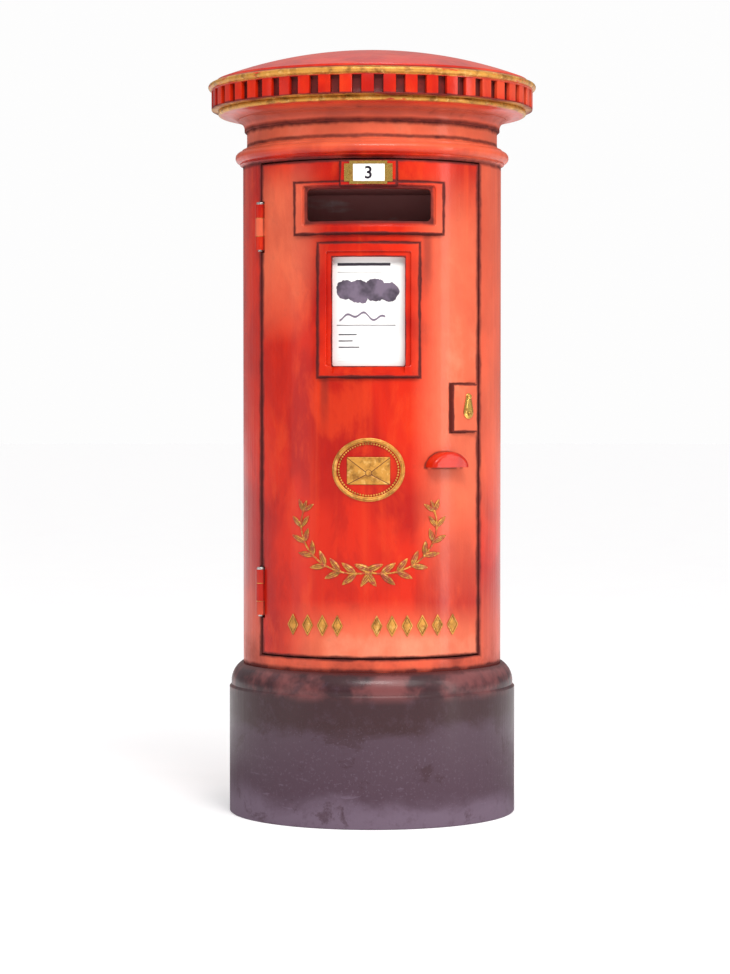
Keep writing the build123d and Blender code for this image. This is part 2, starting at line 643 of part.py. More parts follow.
def lock_levers():
    """Five pivoted levers in a stack."""
    x, z = LEVER_POST
    arm = Polyline((x, z + 7), (4, z + 4), (4, z - 30), (-4, z - 33), (-10, z - 20), (x, z - 7), close=True)
    outline = make_face(arm) + Pos(x, z) * Circle(7)
    outline -= Pos(x, z) * Circle(4.1)
    outline -= Pos(-1, z - 12) * Rectangle(5, 7)
    levers = [prism(outline, 217.9 + 2.1 * i, 219.6 + 2.1 * i) for i in range(5)]
    return group([turned(lever, LOCK_ANGLE) for lever in levers])


def lever_springs():
    """Five leaf springs above the levers."""
    leaves = []
    for i in range(5):
        inner = 218.0 + 2.1 * i
        leaf = Polyline((-36, 856), (-12, 858.6), (14, 856), (14, 856.6), (-12, 859.3), (-36, 856.6), close=True)
        leaves.append(turned(prism(make_face(leaf), inner, inner + 1.5), LOCK_ANGLE))
    return group(leaves)


def key_cover():
    """Brass drop that hangs over the keyhole."""
    circles = (Pos(KEY_X, COVER_PIVOT_Z) * Circle(6.5), Pos(KEY_X, KEY_Z) * Circle(13))
    outline = make_hull([edge for circle in circles for edge in circle.edges()])
    drop = prism(outline, BOSS_FACE + 0.4, BOSS_FACE + 3.6)
    drop = fillet(drop.edges().group_by(Axis.Y)[0], 1.0)
    drop += post(KEY_X, KEY_Z - 3, 4.0, BOSS_FACE + 3, BOSS_FACE + 6.5)
    drop -= post(KEY_X, COVER_PIVOT_Z, 2.6, BOSS_FACE - 1, BOSS_FACE + 8)
    return turned(drop, LOCK_ANGLE)


def cover_pin():
    """Rivet that the key cover hangs from."""
    shank = post(KEY_X, COVER_PIVOT_Z, 2.48, 255.2, BOSS_FACE + 4)
    head = post(KEY_X, COVER_PIVOT_Z, 4.6, BOSS_FACE + 3.9, BOSS_FACE + 6)
    head = fillet(head.edges().group_by(Axis.Y)[0], 1.4)
    return turned(shank + head, LOCK_ANGLE)


def medallion():
    """Cast oval with an envelope in relief."""
    z = 686.0
    rim = Pos(0, z) * (Ellipse(70, 61) - Ellipse(62, 53))
    letter = Pos(0, z - 2) * RectangleRounded(84, 54, 3)
    rim_solid = softened(pad(rim, SHELL_R, SHELL_R + 6), SHELL_R + 6, 1.5)
    letter_solid = pad(letter, SHELL_R, SHELL_R + 4)
    fold = Polyline((-42, z + 25), (0, z - 7), (42, z + 25))
    groove = trace(Plane.XZ * fold, 3.0)
    letter_solid -= extrude(groove, CUT) & ring(SHELL_R + 1.5, SHELL_R + 8, 0, CAP_TOP)
    return group([rim_solid, letter_solid])


def spray_point(t):
    """Point and direction on the right-hand laurel stem, in (x, z)."""
    points = ((-6.0, 492.0), (70.0, 470.0), (150.0, 530.0), (126.0, 606.0))
    weights = ((1 - t) ** 3, 3 * t * (1 - t) ** 2, 3 * t * t * (1 - t), t**3)
    slopes = (3 * (1 - t) ** 2, 6 * t * (1 - t), 3 * t * t)
    x = sum(w * p[0] for w, p in zip(weights, points))
    z = sum(w * p[1] for w, p in zip(weights, points))
    dx = sum(s * (points[i + 1][0] - points[i][0]) for i, s in enumerate(slopes))
    dz = sum(s * (points[i + 1][1] - points[i][1]) for i, s in enumerate(slopes))
    return x, z, math.degrees(math.atan2(dz, dx))


def laurel_sprays():
    """Two mirrored laurel sprays, leaf by leaf."""
    leaf_l, leaf_w = 34.0, 12.0
    leaves = []
    for i in range(1, 8):
        x, z, heading = spray_point(i / 7.5)
        for lean in (-38, 38):
            direction = heading + lean
            middle = (x + 0.62 * leaf_l * math.cos(math.radians(direction)),
                      z + 0.62 * leaf_l * math.sin(math.radians(direction)))
            outline = Pos(*middle) * Rot(0, 0, direction) * Ellipse(leaf_l / 2, leaf_w / 2)
            leaves.append(outline)
    right = [pad(leaf, SHELL_R, SHELL_R + 3.5) for leaf in leaves]
    left = [mirror(leaf, Plane.YZ) for leaf in right]
    return group(right + left)


def lozenge_row():
    """Raised lozenges in two groups under the laurels."""
    places = [-147 + 29 * i for i in range(4)] + [16 + 29 * i for i in range(6)]
    row = []
    for x in places:
        diamond = make_face(Polyline((x - 11, 387), (x, 365), (x + 11, 387), (x, 409), close=True))
        row.append(pad(diamond, SHELL_R, SHELL_R + 4))
    return group(row)


def dome(rim, top):
    """Part of a sphere's outline, from a rim point up to the axis."""
    rise = top - rim[1]
    radius = (rim[0] ** 2 + rise**2) / (2 * rise)
    middle = (rim[0] / 2, top - radius + math.sqrt(radius**2 - rim[0] ** 2 / 4))
    return ThreePointArc(rim, middle, (0, top))


def cap():
    """Domed cap casting with a cove, a band of dentils and an inside bolting flange."""
    outline = [
        Line((TOP_FLANGE_R, SHELL_TOP), (254, SHELL_TOP)),
        Line((254, SHELL_TOP), (254, 1356)),
        ThreePointArc((254, 1356), (267, 1375), (297, 1384)),
        Line((297, 1384), (303, 1384)),
        ThreePointArc((303, 1384), (308, 1389), (303, 1394)),
        Line((303, 1394), (DENTIL_FRONT, 1395)),
        Line((DENTIL_FRONT, 1395), (DENTIL_FRONT, 1434)),
        Line((DENTIL_FRONT, 1434), (CAP_R - 3, 1434)),
        ThreePointArc((CAP_R - 3, 1434), (CAP_R, 1440), (CAP_R - 3, 1446)),
        Line((CAP_R - 3, 1446), (314, 1448)),
        Line((314, 1448), (310, 1453)),
        dome((310, 1453), CAP_TOP),
        Line((0, CAP_TOP), (0, CAP_TOP - 11)),
        dome((297, 1444), CAP_TOP - 11),
        Line((297, 1444), (297, 1402)),
        Line((297, 1402), (243, 1374)),
        Line((243, 1374), (238, SHELL_TOP + SHELL_FLANGE_T)),
        Line((238, SHELL_TOP + SHELL_FLANGE_T), (TOP_FLANGE_R, SHELL_TOP + SHELL_FLANGE_T)),
        Line((TOP_FLANGE_R, SHELL_TOP + SHELL_FLANGE_T), (TOP_FLANGE_R, SHELL_TOP)),
    ]
    body = lathe(outline)
    gap = 2 * math.pi * DENTIL_FRONT / DENTIL_COUNT - DENTIL_W
    notch = block(-gap / 2, gap / 2, DENTIL_BACK, DENTIL_FRONT + 2, DENTIL_LOW, DENTIL_HIGH)
    body -= around(notch, DENTIL_COUNT, 180 / DENTIL_COUNT)
    hole = Pos(0, -TOP_BOLT_PCR, SHELL_TOP - 1) * Cylinder(5.5, 16, align=NO_ALIGN)
    return body - around(hole, 6, 30)


def floor_plate():
    """Round floor inside the shell, screwed to the plinth's seat."""
    plate = drum(SHELL_FLANGE_R - 2, PLINTH_TOP, PLINTH_TOP + 6)
    screw = Pos(0, -198, PLINTH_TOP - 1) * Cylinder(3.2, 10, align=NO_ALIGN)
    drain = Pos(0, -120, PLINTH_TOP - 1) * Cylinder(6, 10, align=NO_ALIGN)
    return plate - around(screw, 4, 45) - around(drain, 5)


def floor_screws():
    """Four round-headed screws of the floor."""
    shank = Pos(0, -198, PLINTH_TOP - 8) * Cylinder(3.0, 15, align=NO_ALIGN)
    head = Pos(0, -198, PLINTH_TOP + 6.05) * Cylinder(6.0, 3, align=NO_ALIGN)
    head = fillet(head.edges().group_by(Axis.Z)[-1], 1.5)
    return group(around(shank + head, 4, 45))


def jamb(side):
    """Upright sheet angle that closes the gap between the doorway and the letter guard."""
    near, far = sorted((side * JAMB_X, side * (JAMB_X + JAMB_T)))
    web = turned(block(near, far, 196, 228.2, GUARD_LOW - 2, GUARD_HIGH - 2), side * LOCK_ANGLE)
    start, end = sorted((side * 53.4, side * 61.0))
    flange = sector(STOP_IN - 3, STOP_IN - 0.05, start, end, GUARD_LOW - 2, GUARD_HIGH - 2)
    angle = web + flange
    angle -= [turned(post(0, z, 3.2, 220, 240), side * 58.5) for z in jamb_screw_z()]
    if side > 0:
        keeper = block(JAMB_X - 5, JAMB_X + 8, BOLT_IN - 1.5, BOLT_IN + 9.5, 805, 834)
        angle -= turned(keeper, LOCK_ANGLE)
    return angle


def jamb_screws(side):
    """Screws of one guard jamb, into the shell's door stop."""
    screws = []
    for z in jamb_screw_z():
        shank = post(0, z, 3.0, 228, 240.5)
        head = post(0, z, 5.5, STOP_IN - 6.2, STOP_IN - 3.1)
        screws.append(turned(shank + head, side * 58.5))
    return group(screws)


def guard_place(angle):
    """Point of the letter guard at an angle from the front."""
    a = math.radians(angle)
    return GUARD_R * math.sin(a), -GUARD_R * math.cos(a)


def guard_hoop_z():
    """Heights of the guard's hoops."""
    return (352.0, 590.0, 835.0, 1078.0)


def rod_angles():
    """Angles of the guard's upright rods."""
    return [-43.5 + 7.25 * i for i in range(13)]


def guard_frame():
    """Hoops between a pivot bar on the left and a closing bar on the right."""
    px, py = guard_place(-GUARD_END)
    frame = Pos(px, py, GUARD_LOW) * Cylinder(6.0, GUARD_HIGH - GUARD_LOW, align=NO_ALIGN)
    for low in (GUARD_LOW - 8, GUARD_HIGH):
        frame += Pos(px, py, low) * Cylinder(GUARD_PIN_R, 8, align=NO_ALIGN)
    frame += turned(block(-5, 5, GUARD_R - 5, GUARD_R + 5, GUARD_LOW + 4, GUARD_HIGH - 4), GUARD_END - 0.5)
    for z in guard_hoop_z():
        frame += sector(GUARD_R - 5, GUARD_R + 5, -GUARD_END + 0.8, GUARD_END - 0.8, z - 2.5, z + 2.5)
    for angle in rod_angles():
        x, y = guard_place(angle)
        frame -= Pos(x, y, GUARD_LOW) * Cylinder(GUARD_ROD_R + 0.06, GUARD_HIGH - GUARD_LOW, align=NO_ALIGN)
    return frame


def guard_rods():
    """Thirteen upright rods through the hoops."""
    low, high = guard_hoop_z()[0] - 6, guard_hoop_z()[-1] + 6
    rods = []
    for angle in rod_angles():
        x, y = guard_place(angle)
        rods.append(Pos(x, y, low) * Cylinder(GUARD_ROD_R, high - low, align=NO_ALIGN))
    return group(rods)


def guard_bracket(low, lug_low):
    """Bearing plate for one end of the guard's pivot, with a lug on the left jamb."""
    plate = block(-JAMB_X + 0.05, -12, 184, 212, low, low + 6)
    lug = block(-JAMB_X + 0.05, -JAMB_X + 3, 198, 222, lug_low, lug_low + 26)
    bracket = turned(plate + lug, -LOCK_ANGLE)
    px, py = guard_place(-GUARD_END)
    return bracket - Pos(px, py, low - 1) * Cylinder(GUARD_PIN_R + 0.08, 8, align=NO_ALIGN)


def catch_bracket():
    """Small shelf on the right jamb with the catch's pin."""
    shelf = block(CATCH_X - 5, JAMB_X - 0.05, CATCH_RADIAL - 6, CATCH_RADIAL + 6, CATCH_Z - 4, CATCH_Z)
    lug = block(JAMB_X - 3, JAMB_X - 0.05, CATCH_RADIAL - 6, CATCH_RADIAL + 6, CATCH_Z - 22, CATCH_Z)
    pin = Pos(CATCH_X, -CATCH_RADIAL, CATCH_Z - 1) * Cylinder(2.5, 10, align=NO_ALIGN)
    head = Pos(CATCH_X, -CATCH_RADIAL, CATCH_Z + 6.6) * Cylinder(4.2, 2.4, align=NO_ALIGN)
    return turned(shelf + lug + pin + head, LOCK_ANGLE)


def guard_catch():
    """Arm that swings across the guard's closing bar. It rests open."""
    arm = Pos(CATCH_X, -CATCH_RADIAL - 7.5, CATCH_Z + 0.3) * extrude(Rot(0, 0, 90) * SlotOverall(24, 9), 6)
    arm -= Pos(CATCH_X, -CATCH_RADIAL, CATCH_Z - 1) * Cylinder(2.6, 10, align=NO_ALIGN)
    return turned(arm, LOCK_ANGLE)


def parts():
    """Every node by name."""
    nodes = {
        "plinth": plinth(),
        "shell": shell(),
        "cap": cap(),
        "floor_plate": floor_plate(),
        "floor_screws": floor_screws(),
        "plinth_bolts": group(around(upright_bolt(LOW_BOLT_PCR, 309.05, 268, 310), 6, 30)),
        "plinth_nuts": group(around(upright_nut(LOW_BOLT_PCR, 273.9), 6, 30)),
        "cap_bolts": group(around(upright_bolt(TOP_BOLT_PCR, 1331.95, 1338, 1376), 6, 30)),
        "cap_nuts": group(around(upright_nut(TOP_BOLT_PCR, 1363.05), 6, 30)),
        "door": door(),
        "door_pull": door_pull(),
        "pull_bolts": pull_bolts(),
        "medallion": medallion(),
        "laurel_sprays": laurel_sprays(),
        "lozenge_row": lozenge_row(),
        "number_holder": number_holder(),
        "holder_screws": holder_screws(),
        "number_plate": number_plate(),
        "notice_plate": notice_plate(),
        "notice_backplate": notice_backplate(),
        "button_studs": button_studs(),
        "letter_chute": letter_chute(),
        "chute_bolts": chute_bolts(),
        "lock_case": lock_case(),
        "lock_cover": lock_cover(),
        "lock_cover_screws": cover_screws(),
        "lock_bolts": lock_bolts(),
        "lock_posts": lock_posts(),
        "lock_levers": lock_levers(),
        "lever_springs": lever_springs(),
        "deadbolt": deadbolt(),
        "key_barrel": key_barrel(),
        "key_cover": key_cover(),
        "key_cover_pin": cover_pin(),
        "guard_frame": guard_frame(),
        "guard_rods": guard_rods(),
        "guard_bracket_lower": guard_bracket(GUARD_LOW - 9, GUARD_LOW - 9),
        "guard_bracket_upper": guard_bracket(GUARD_HIGH + 3, GUARD_HIGH - 17),
        "guard_catch": guard_catch(),
        "catch_bracket": catch_bracket(),
        "hinge_washers": hinge_washers(),
    }
    for label, z in zip(("lower", "upper"), HINGE_Z):
        nodes[f"hinge_pin_{label}"] = hinge_pin(z)
    for label, side in (("left", -1), ("right", 1)):
        nodes[f"jamb_{label}"] = jamb(side)
        nodes[f"jamb_screws_{label}"] = jamb_screws(side)
        for height, z in zip(("lower", "upper"), BUTTON_Z):
            nodes[f"turn_button_{label}_{height}"] = turn_button(side * BUTTON_ANGLE, z)
    return nodes


os.makedirs("parts", exist_ok=True)
for name, shape in parts().items():
    export_step(shape, f"parts/{name}.step")
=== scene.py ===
# %% [markdown]
# # A cast-iron pillar mailbox
#
# The real thing is a stack of castings: a hollow plinth, a round shell, and a domed cap with a band of
# dentils. A tall curved door carries the posting slot, the number plate, the notice and the lock. Behind it
# hang a chute and a hooped letter guard. The engineering model already holds every size and every joint, so
# this lesson loads it first and treats it as a jig: each casting either stays and gets its paint, or is
# made again, finer, in exactly the same place.

# %% Load the jig
import math
import bmesh
import bpy
from mathutils import Matrix, Vector


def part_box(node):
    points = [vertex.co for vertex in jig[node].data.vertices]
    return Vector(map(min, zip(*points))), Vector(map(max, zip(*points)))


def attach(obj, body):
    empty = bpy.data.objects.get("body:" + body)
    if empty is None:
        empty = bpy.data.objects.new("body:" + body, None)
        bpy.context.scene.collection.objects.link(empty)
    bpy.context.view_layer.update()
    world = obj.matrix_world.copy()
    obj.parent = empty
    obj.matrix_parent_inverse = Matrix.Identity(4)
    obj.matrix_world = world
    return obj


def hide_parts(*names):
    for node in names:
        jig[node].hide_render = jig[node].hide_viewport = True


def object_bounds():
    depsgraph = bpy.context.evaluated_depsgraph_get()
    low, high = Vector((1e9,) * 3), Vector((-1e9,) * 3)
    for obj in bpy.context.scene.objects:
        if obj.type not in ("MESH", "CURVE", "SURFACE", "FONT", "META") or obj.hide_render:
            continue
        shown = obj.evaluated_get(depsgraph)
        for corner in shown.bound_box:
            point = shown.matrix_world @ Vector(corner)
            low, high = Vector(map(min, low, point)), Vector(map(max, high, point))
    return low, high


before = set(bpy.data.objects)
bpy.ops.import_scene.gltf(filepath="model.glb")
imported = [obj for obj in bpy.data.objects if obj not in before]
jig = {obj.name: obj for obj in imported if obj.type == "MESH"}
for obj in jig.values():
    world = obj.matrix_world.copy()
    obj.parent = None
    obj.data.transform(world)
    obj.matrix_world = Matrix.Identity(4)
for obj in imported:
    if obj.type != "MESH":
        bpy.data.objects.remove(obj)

cad_low, cad_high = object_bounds()
print("castings and fittings:", len(jig), "height:", round(cad_high.z, 3))

# %% [markdown]
# ## Camera
#
# A person looks at a mailbox from a few steps away, with the eye a little above its middle. Close up, the
# cap would loom and the round body would bulge, so the camera stands back with a long lens. Turning the
# camera down a little, in place of shifting the lens, keeps every other view of the model centred.

# %% Stand the camera
TALL = cad_high.z
CAMERA_BACK = 5.5
CAMERA_HEIGHT = 0.80
CAMERA_TURN = math.radians(1.5)
AIM = Vector((-0.014, 0.0, 0.646))
LONG_LENS = 101.6

camera_data = bpy.data.cameras.new("camera")
camera_data.sensor_width = 36.0
camera_data.lens = LONG_LENS
camera = bpy.data.objects.new("camera", camera_data)
camera.location = (CAMERA_BACK * math.sin(CAMERA_TURN), -CAMERA_BACK * math.cos(CAMERA_TURN), CAMERA_HEIGHT)
camera.rotation_euler = (AIM - camera.location).to_track_quat("-Z", "Y").to_euler()
bpy.context.scene.collection.objects.link(camera)
bpy.context.scene.camera = camera
print("camera", [round(v, 3) for v in camera.location])

# %% [markdown]
# ## Light
#
# Gloss paint on a cylinder shows whatever stands round it as upright bands. One tall soft panel on the
# right draws the long pale band that makes the body read as round, a weak one on the left keeps that edge
# from going black, and one high in front puts a bright line on every ledge. A wide, soft sun lights the
# floor the same near and far. The standard view keeps the red as strong as it is mixed, where a filmic view
# would wash it out.

# %% Hang the lights
def sun(name, turn, tilt, strength, spread, colour):
    """A far light that comes from a direction round the box (0 is the front) and a height, in degrees."""
    data = bpy.data.lights.new(name, "SUN")
    data.energy = strength
    data.angle = math.radians(spread)
    data.color = colour
    lamp = bpy.data.objects.new(name, data)
    a, e = math.radians(turn), math.radians(tilt)
    towards = Vector((math.sin(a) * math.cos(e), -math.cos(a) * math.cos(e), math.sin(e)))
    lamp.rotation_euler = towards.to_track_quat("Z", "Y").to_euler()
    bpy.context.scene.collection.objects.link(lamp)
    return lamp


def panel(name, turn, distance, height, wide, tall, power, colour):
    """A soft light panel that faces the middle of the box."""
    data = bpy.data.lights.new(name, "AREA")
    data.shape = "RECTANGLE"
    data.size, data.size_y = wide, tall
    data.energy = power
    data.color = colour
    lamp = bpy.data.objects.new(name, data)
    a = math.radians(turn)
    lamp.location = (distance * math.sin(a), -distance * math.cos(a), height)
    aim = lamp.location - Vector((0.0, 0.0, TALL / 2))
    lamp.rotation_euler = aim.to_track_quat("Z", "Y").to_euler()
    bpy.context.scene.collection.objects.link(lamp)
    return lamp


sun("soft_sun", 32, 44, 0.95, 30, (1.0, 0.98, 0.95))
panel("right_panel", 66, 2.8, 1.1, 0.45, 2.6, 22, (1.0, 0.97, 0.94))
panel("front_panel", 4, 2.7, 3.2, 1.6, 0.9, 70, (1.0, 0.99, 0.97))
panel("left_panel", -62, 3.4, 1.0, 1.2, 2.2, 8, (1.0, 0.97, 0.94))

bpy.context.scene.view_settings.view_transform = "Standard"
print("lights", len(bpy.data.lights))

# %% [markdown]
# ## Writing paint as arithmetic
#
# A finish is a sum: this much soot, minus that much sun-fade, times a ripple. Drawn as a node graph it
# takes dozens of boxes, and the sum is hard to see. Here one small class stands for a socket. Adding,
# multiplying or comparing two of them lays the Math nodes, so the recipe reads like the sentence that
# describes it.


# %% The Wire class
class Wire:
    """An output socket of a shader node, which can stand in an arithmetic expression."""

    def __init__(self, tree, socket=None):
        self.tree = tree
        self.socket = socket

    def node(self, kind, settings=None, inputs=None, output=0):
        """Adds any node: first its settings, then the values or wires of its sockets."""
        made = self.tree.nodes.new(kind)
        for name, value in (settings or {}).items():
            setattr(made, name, value)
        for name, value in (inputs or {}).items():
            if isinstance(value, Wire):
                self.tree.links.new(value.socket, made.inputs[name])
            else:
                made.inputs[name].default_value = value
        return Wire(self.tree, made.outputs[output])

    def math(self, operation, first, second=0.0):
        """A Math node."""
        return self.node("ShaderNodeMath", {"operation": operation}, {0: first, 1: second})

    def __add__(self, other):
        return self.math("ADD", self, other)

    def __radd__(self, other):
        return self.math("ADD", other, self)

    def __sub__(self, other):
        return self.math("SUBTRACT", self, other)

    def __rsub__(self, other):
        return self.math("SUBTRACT", other, self)

    def __mul__(self, other):
        return self.math("MULTIPLY", self, other)

    def __truediv__(self, other):
        return self.math("DIVIDE", self, other)

    def __abs__(self):
        return self.math("ABSOLUTE", self)

    def root(self):
        """The square root."""
        return self.math("SQRT", self)

    def sine(self):
        """The sine of an angle in radians."""
        return self.math("SINE", self)

    def smaller(self, other):
        """The smaller of two values."""
        return self.math("MINIMUM", self, other)

    def larger(self, other):
        """The larger of two values."""
        return self.math("MAXIMUM", self, other)

    def fade(self, low, high):
        """0 at low, 1 at high, and smooth between; low may be above high."""
        inputs = {"Value": self, "From Min": low, "From Max": high}
        return self.node("ShaderNodeMapRange", {"interpolation_type": "SMOOTHSTEP"}, inputs)

    def split(self):
        """The three parts of a vector."""
        made = self.node("ShaderNodeSeparateXYZ", None, {0: self})
        return [Wire(self.tree, socket) for socket in made.socket.node.outputs]

    def stretched(self, x, y, z):
        """The same place on a pattern that is scaled by these amounts."""
        return self.node("ShaderNodeVectorMath", {"operation": "MULTIPLY"}, {0: self, 1: (x, y, z)})

    def noise(self, scale, detail=3.0, rough=0.55, twist=0.0):
        """Soft random patches, about 0.5 on average."""
        inputs = {"Vector": self, "Scale": scale, "Detail": detail, "Roughness": rough, "Distortion": twist}
        return self.node("ShaderNodeTexNoise", None, inputs)

    def cells(self, scale, output="Distance"):
        """Distance to the nearest of many random points, or that point's own random Color."""
        return self.node("ShaderNodeTexVoronoi", {"feature": "F1"}, {"Vector": self, "Scale": scale}, output)

    def over(self, below, colour):
        """Lays a colour over another where this mask is 1."""
        made = self.tree.nodes.new("ShaderNodeMix")
        made.data_type = "RGBA"
        self.tree.links.new(self.socket, made.inputs[0])
        for slot, value in ((6, below), (7, colour)):
            if isinstance(value, Wire):
                self.tree.links.new(value.socket, made.inputs[slot])
            else:
                made.inputs[slot].default_value = (*value, 1.0)
        return Wire(self.tree, made.outputs[2])

    def bump(self, strength, depth):
        """A surface normal roughened by this height, with the depth in metres."""
        return self.node("ShaderNodeBump", None, {"Height": self, "Strength": strength, "Distance": depth})


def new_finish(name, **fixed):
    """A material with its shader's constant sockets set, and the place on the piece as a wire."""
    material = bpy.data.materials.new(name)
    material.use_nodes = True
    shader = material.node_tree.nodes["Principled BSDF"]
    for socket, value in fixed.items():
        shader.inputs[socket.replace("_", " ")].default_value = value
    place = Wire(material.node_tree).node("ShaderNodeTexCoord", output="Object")
    return material, place


def feed(material, **wires):
    """Plugs wires into the material's shader."""
    shader = material.node_tree.nodes["Principled BSDF"]
    for socket, wire in wires.items():
        material.node_tree.links.new(wire.socket, shader.inputs[socket.replace("_", " ")])
    return material


# %% [markdown]
# ## Studio sky
#
# The room round the box is the same arithmetic. Gloss red in an all-white room turns pink, because every
# part of it mirrors white. So the room that lights the box is bright overhead and dim at eye level, as
# under a big overhead softbox, while the backdrop that the camera sees behind the box is plain pale paper.

# %% Light the room
PAPER = (0.985, 0.983, 0.983)
EYE_LEVEL, OVERHEAD = 0.25, 0.86

world = bpy.data.worlds.new("studio")
bpy.context.scene.world = world
world.use_nodes = True
room = Wire(world.node_tree)
height = room.node("ShaderNodeTexCoord", output="Generated").split()[2]
seen = room.node("ShaderNodeLightPath", output="Is Camera Ray")
glow = height.fade(0.05, 0.85) * (OVERHEAD - EYE_LEVEL) + EYE_LEVEL
strength = seen + (1 - seen) * glow
backdrop = world.node_tree.nodes["Background"]
backdrop.inputs["Color"].default_value = (*PAPER, 1.0)
world.node_tree.links.new(strength.socket, backdrop.inputs["Strength"])
print("room light from", EYE_LEVEL, "to", OVERHEAD)

# %% [markdown]
# ## Red enamel
#
# Mailboxes are brush-painted with oil enamel every few years, so the film is thick, faintly streaked and full
# of tone: deep where it is sheltered, washed out to pink where sun and rain reach it, and nearly brown where
# soot sits in a corner. Here the corners, gaps and ledges are also painted darker as painted shade, and the
# lit side and the shaded neck and cove are painted paler as painted light. An image texture would need
# unwrapping and would repeat. A recipe on the object's own coordinates can put each fade, each dirty corner
# and each painted shade where the casting really has it, at any size.

# %% Mix the colours
def tint(red, green, blue):
    """A colour as a screen shows it, 0 to 255, as the light that a shader mixes."""
    return tuple(((v / 255 + 0.055) / 1.055) ** 2.4 for v in (red, green, blue))


POSTBOX_RED = tint(198, 34, 6)
DEEP_RED = tint(166, 18, 6)
FRESH_RED = tint(208, 56, 18)
FADED_AND_LIT_RED = tint(228, 120, 84)
CHALK_AND_HIGHLIGHT = tint(244, 178, 150)
SOOT_AND_SHADE = tint(74, 24, 24)
PRIMER = tint(96, 40, 34)


def brushed(place):
    """The ripple that a brush leaves in thick paint, with the fine dimples of cast iron under it."""
    strokes = place.stretched(90, 90, 5).noise(1.0, 2.0, 0.5)
    dimples = place.noise(260.0, 2.0, 0.6)
    waves = place.noise(16.0, 2.0, 0.5)
    return strokes * 0.8 + dimples * 0.3 + waves * 1.1


def red_enamel(name, dirt_and_shade=None, fade=None, chips=0.72):
    """Red paint. Two recipes take the place and give masks: the first darkens with grime and painted shade,
    the second pales with sun-fade and painted light.
    """
    material, place = new_finish(name, Specular_IOR_Level=0.18, Coat_Roughness=0.13)
    x, y, z = place.split()
    patches = place.stretched(1.0, 1.0, 0.7).noise(5.5, 3.0, 0.55, 0.6)
    runs = place.stretched(26, 26, 1.1).noise(1.0, 3.0, 0.6)
    mottle = place.noise(34.0, 4.0, 0.6)
    washes = place.stretched(1.0, 1.0, 0.45).noise(11.0, 5.0, 0.62, 0.35)
    colour = patches.fade(0.40, 0.60).over(DEEP_RED, POSTBOX_RED)
    colour = (washes.fade(0.50, 0.66) * 0.6).over(colour, FRESH_RED)
    colour = (runs.fade(0.54, 0.74) * 0.5).over(colour, FRESH_RED)
    colour = (washes.fade(0.44, 0.34) * 0.5).over(colour, DEEP_RED)
    # Paler paint: random sun-fade patches, plus the fade recipe's mask, which also holds painted light: a
    # painted highlight on the lit right side, and paler paint where the cap's shade falls.
    bleach_and_light = place.noise(9.0, 4.0, 0.6, 1.2).fade(0.66, 0.86) * 0.18
    if fade:
        bleach_and_light = bleach_and_light + fade(place, x, y, z) * (0.20 + patches * 0.6 + washes * 0.55 + mottle * 0.35)
    colour = bleach_and_light.over(colour, FADED_AND_LIT_RED)
    colour = (bleach_and_light - 0.62).larger(0.0).over(colour, CHALK_AND_HIGHLIGHT)
    # Darker paint: random grime, plus the recipe's mask, which on the door, shell and cap is mostly painted
    # shade in creases, gaps and under ledges, with some soot.
    grime = mottle.fade(0.60, 0.78) * 0.12
    if dirt_and_shade:
        grime = grime + dirt_and_shade(place, x, y, z) * (0.55 + mottle * 0.8)
    grime = grime.smaller(0.93)
    colour = grime.over(colour, SOOT_AND_SHADE)
    knocks = place.cells(21.0).fade(0.085, 0.045) * place.noise(7.0).fade(chips - 0.06, chips)
    colour = knocks.over(colour, PRIMER)
    gloss = 0.26 + bleach_and_light * 0.2 + grime * 0.4 + knocks * 0.3 + mottle * 0.08
    coat = (0.22 - grime * 0.2 - bleach_and_light * 0.08).larger(0.0)
    relief = brushed(place) - knocks * 1.2 - grime * 0.25
    skin = relief.bump(0.5, 0.0016)
    return feed(material, Base_Color=colour, Roughness=gloss, Coat_Weight=coat, Normal=skin)


print("red enamel recipe ready, soot", [round(v, 3) for v in SOOT_AND_SHADE])

# %% [markdown]
# ## Where the soot, the sun, the painted shade and the painted highlight sit
#
# The door's raised frames get dark lines along their feet, and so does the thin gap all round the door:
# painted shade, with some soot in it. Each of these is a rectangle seen from the front, and the distance to a
# rectangle's edge is one line of arithmetic: how far the place is past the edge, sideways or up and down,
# whichever is more. Painting the dark lines by that distance, with some noise added to it, gives a hand-drawn
# line that never strays from its casting. The foot of the pull and the painted shadow in the hollow under its
# hood are half an ellipse, measured the same way. The lit right side is painted paler, where sun-fade and a
# painted highlight lie together.

# %% Lines round the frames
MM = 0.001
DOOR_R = 257 * MM
DOOR_EDGE = DOOR_R * math.sin(math.radians(55))
DOOR_LOW, DOOR_HIGH = 325 * MM, 1277 * MM
SLOT_FRAME = (-143, 143, 1136, 1235)
SLOT_MOUTH = (-118, 118, 1160, 1222)
TAB_BLOCK = (-54, 54, 1226, 1275)
NOTICE_FRAME = (-97.5, 97.5, 863, 1119)
NOTICE_WINDOW = (-69.5, 69.5, 884, 1092)
LOCK_BOSS = (-30, 36, 758, 850)
LOCK_TURN, PULL_TURN = math.radians(44), math.radians(34.5)
PULL_WIDE, PULL_TALL, PULL_FOOT = 42 * MM, 30 * MM, 690 * MM


def unsteady(place, scale, by):
    """A small random shift, which makes a line look drawn by hand."""
    return (place.noise(scale, 3.0, 0.6) - 0.5) * by


def outline(x, z, sides, wide, wobble):
    """1 on a rectangle's edge, and 0 further from it than wide (millimetres)."""
    left, right, low, high = (v * MM for v in sides)
    past_x = abs(x - (left + right) / 2) - (right - left) / 2
    past_z = abs(z - (low + high) / 2) - (high - low) / 2
    return (abs(past_x.larger(past_z)) + wobble).fade(wide * MM, wide * MM * 0.25)


def front_only(y):
    """1 on the front of the box, 0 behind its middle."""
    return y.fade(-0.02, -0.09)


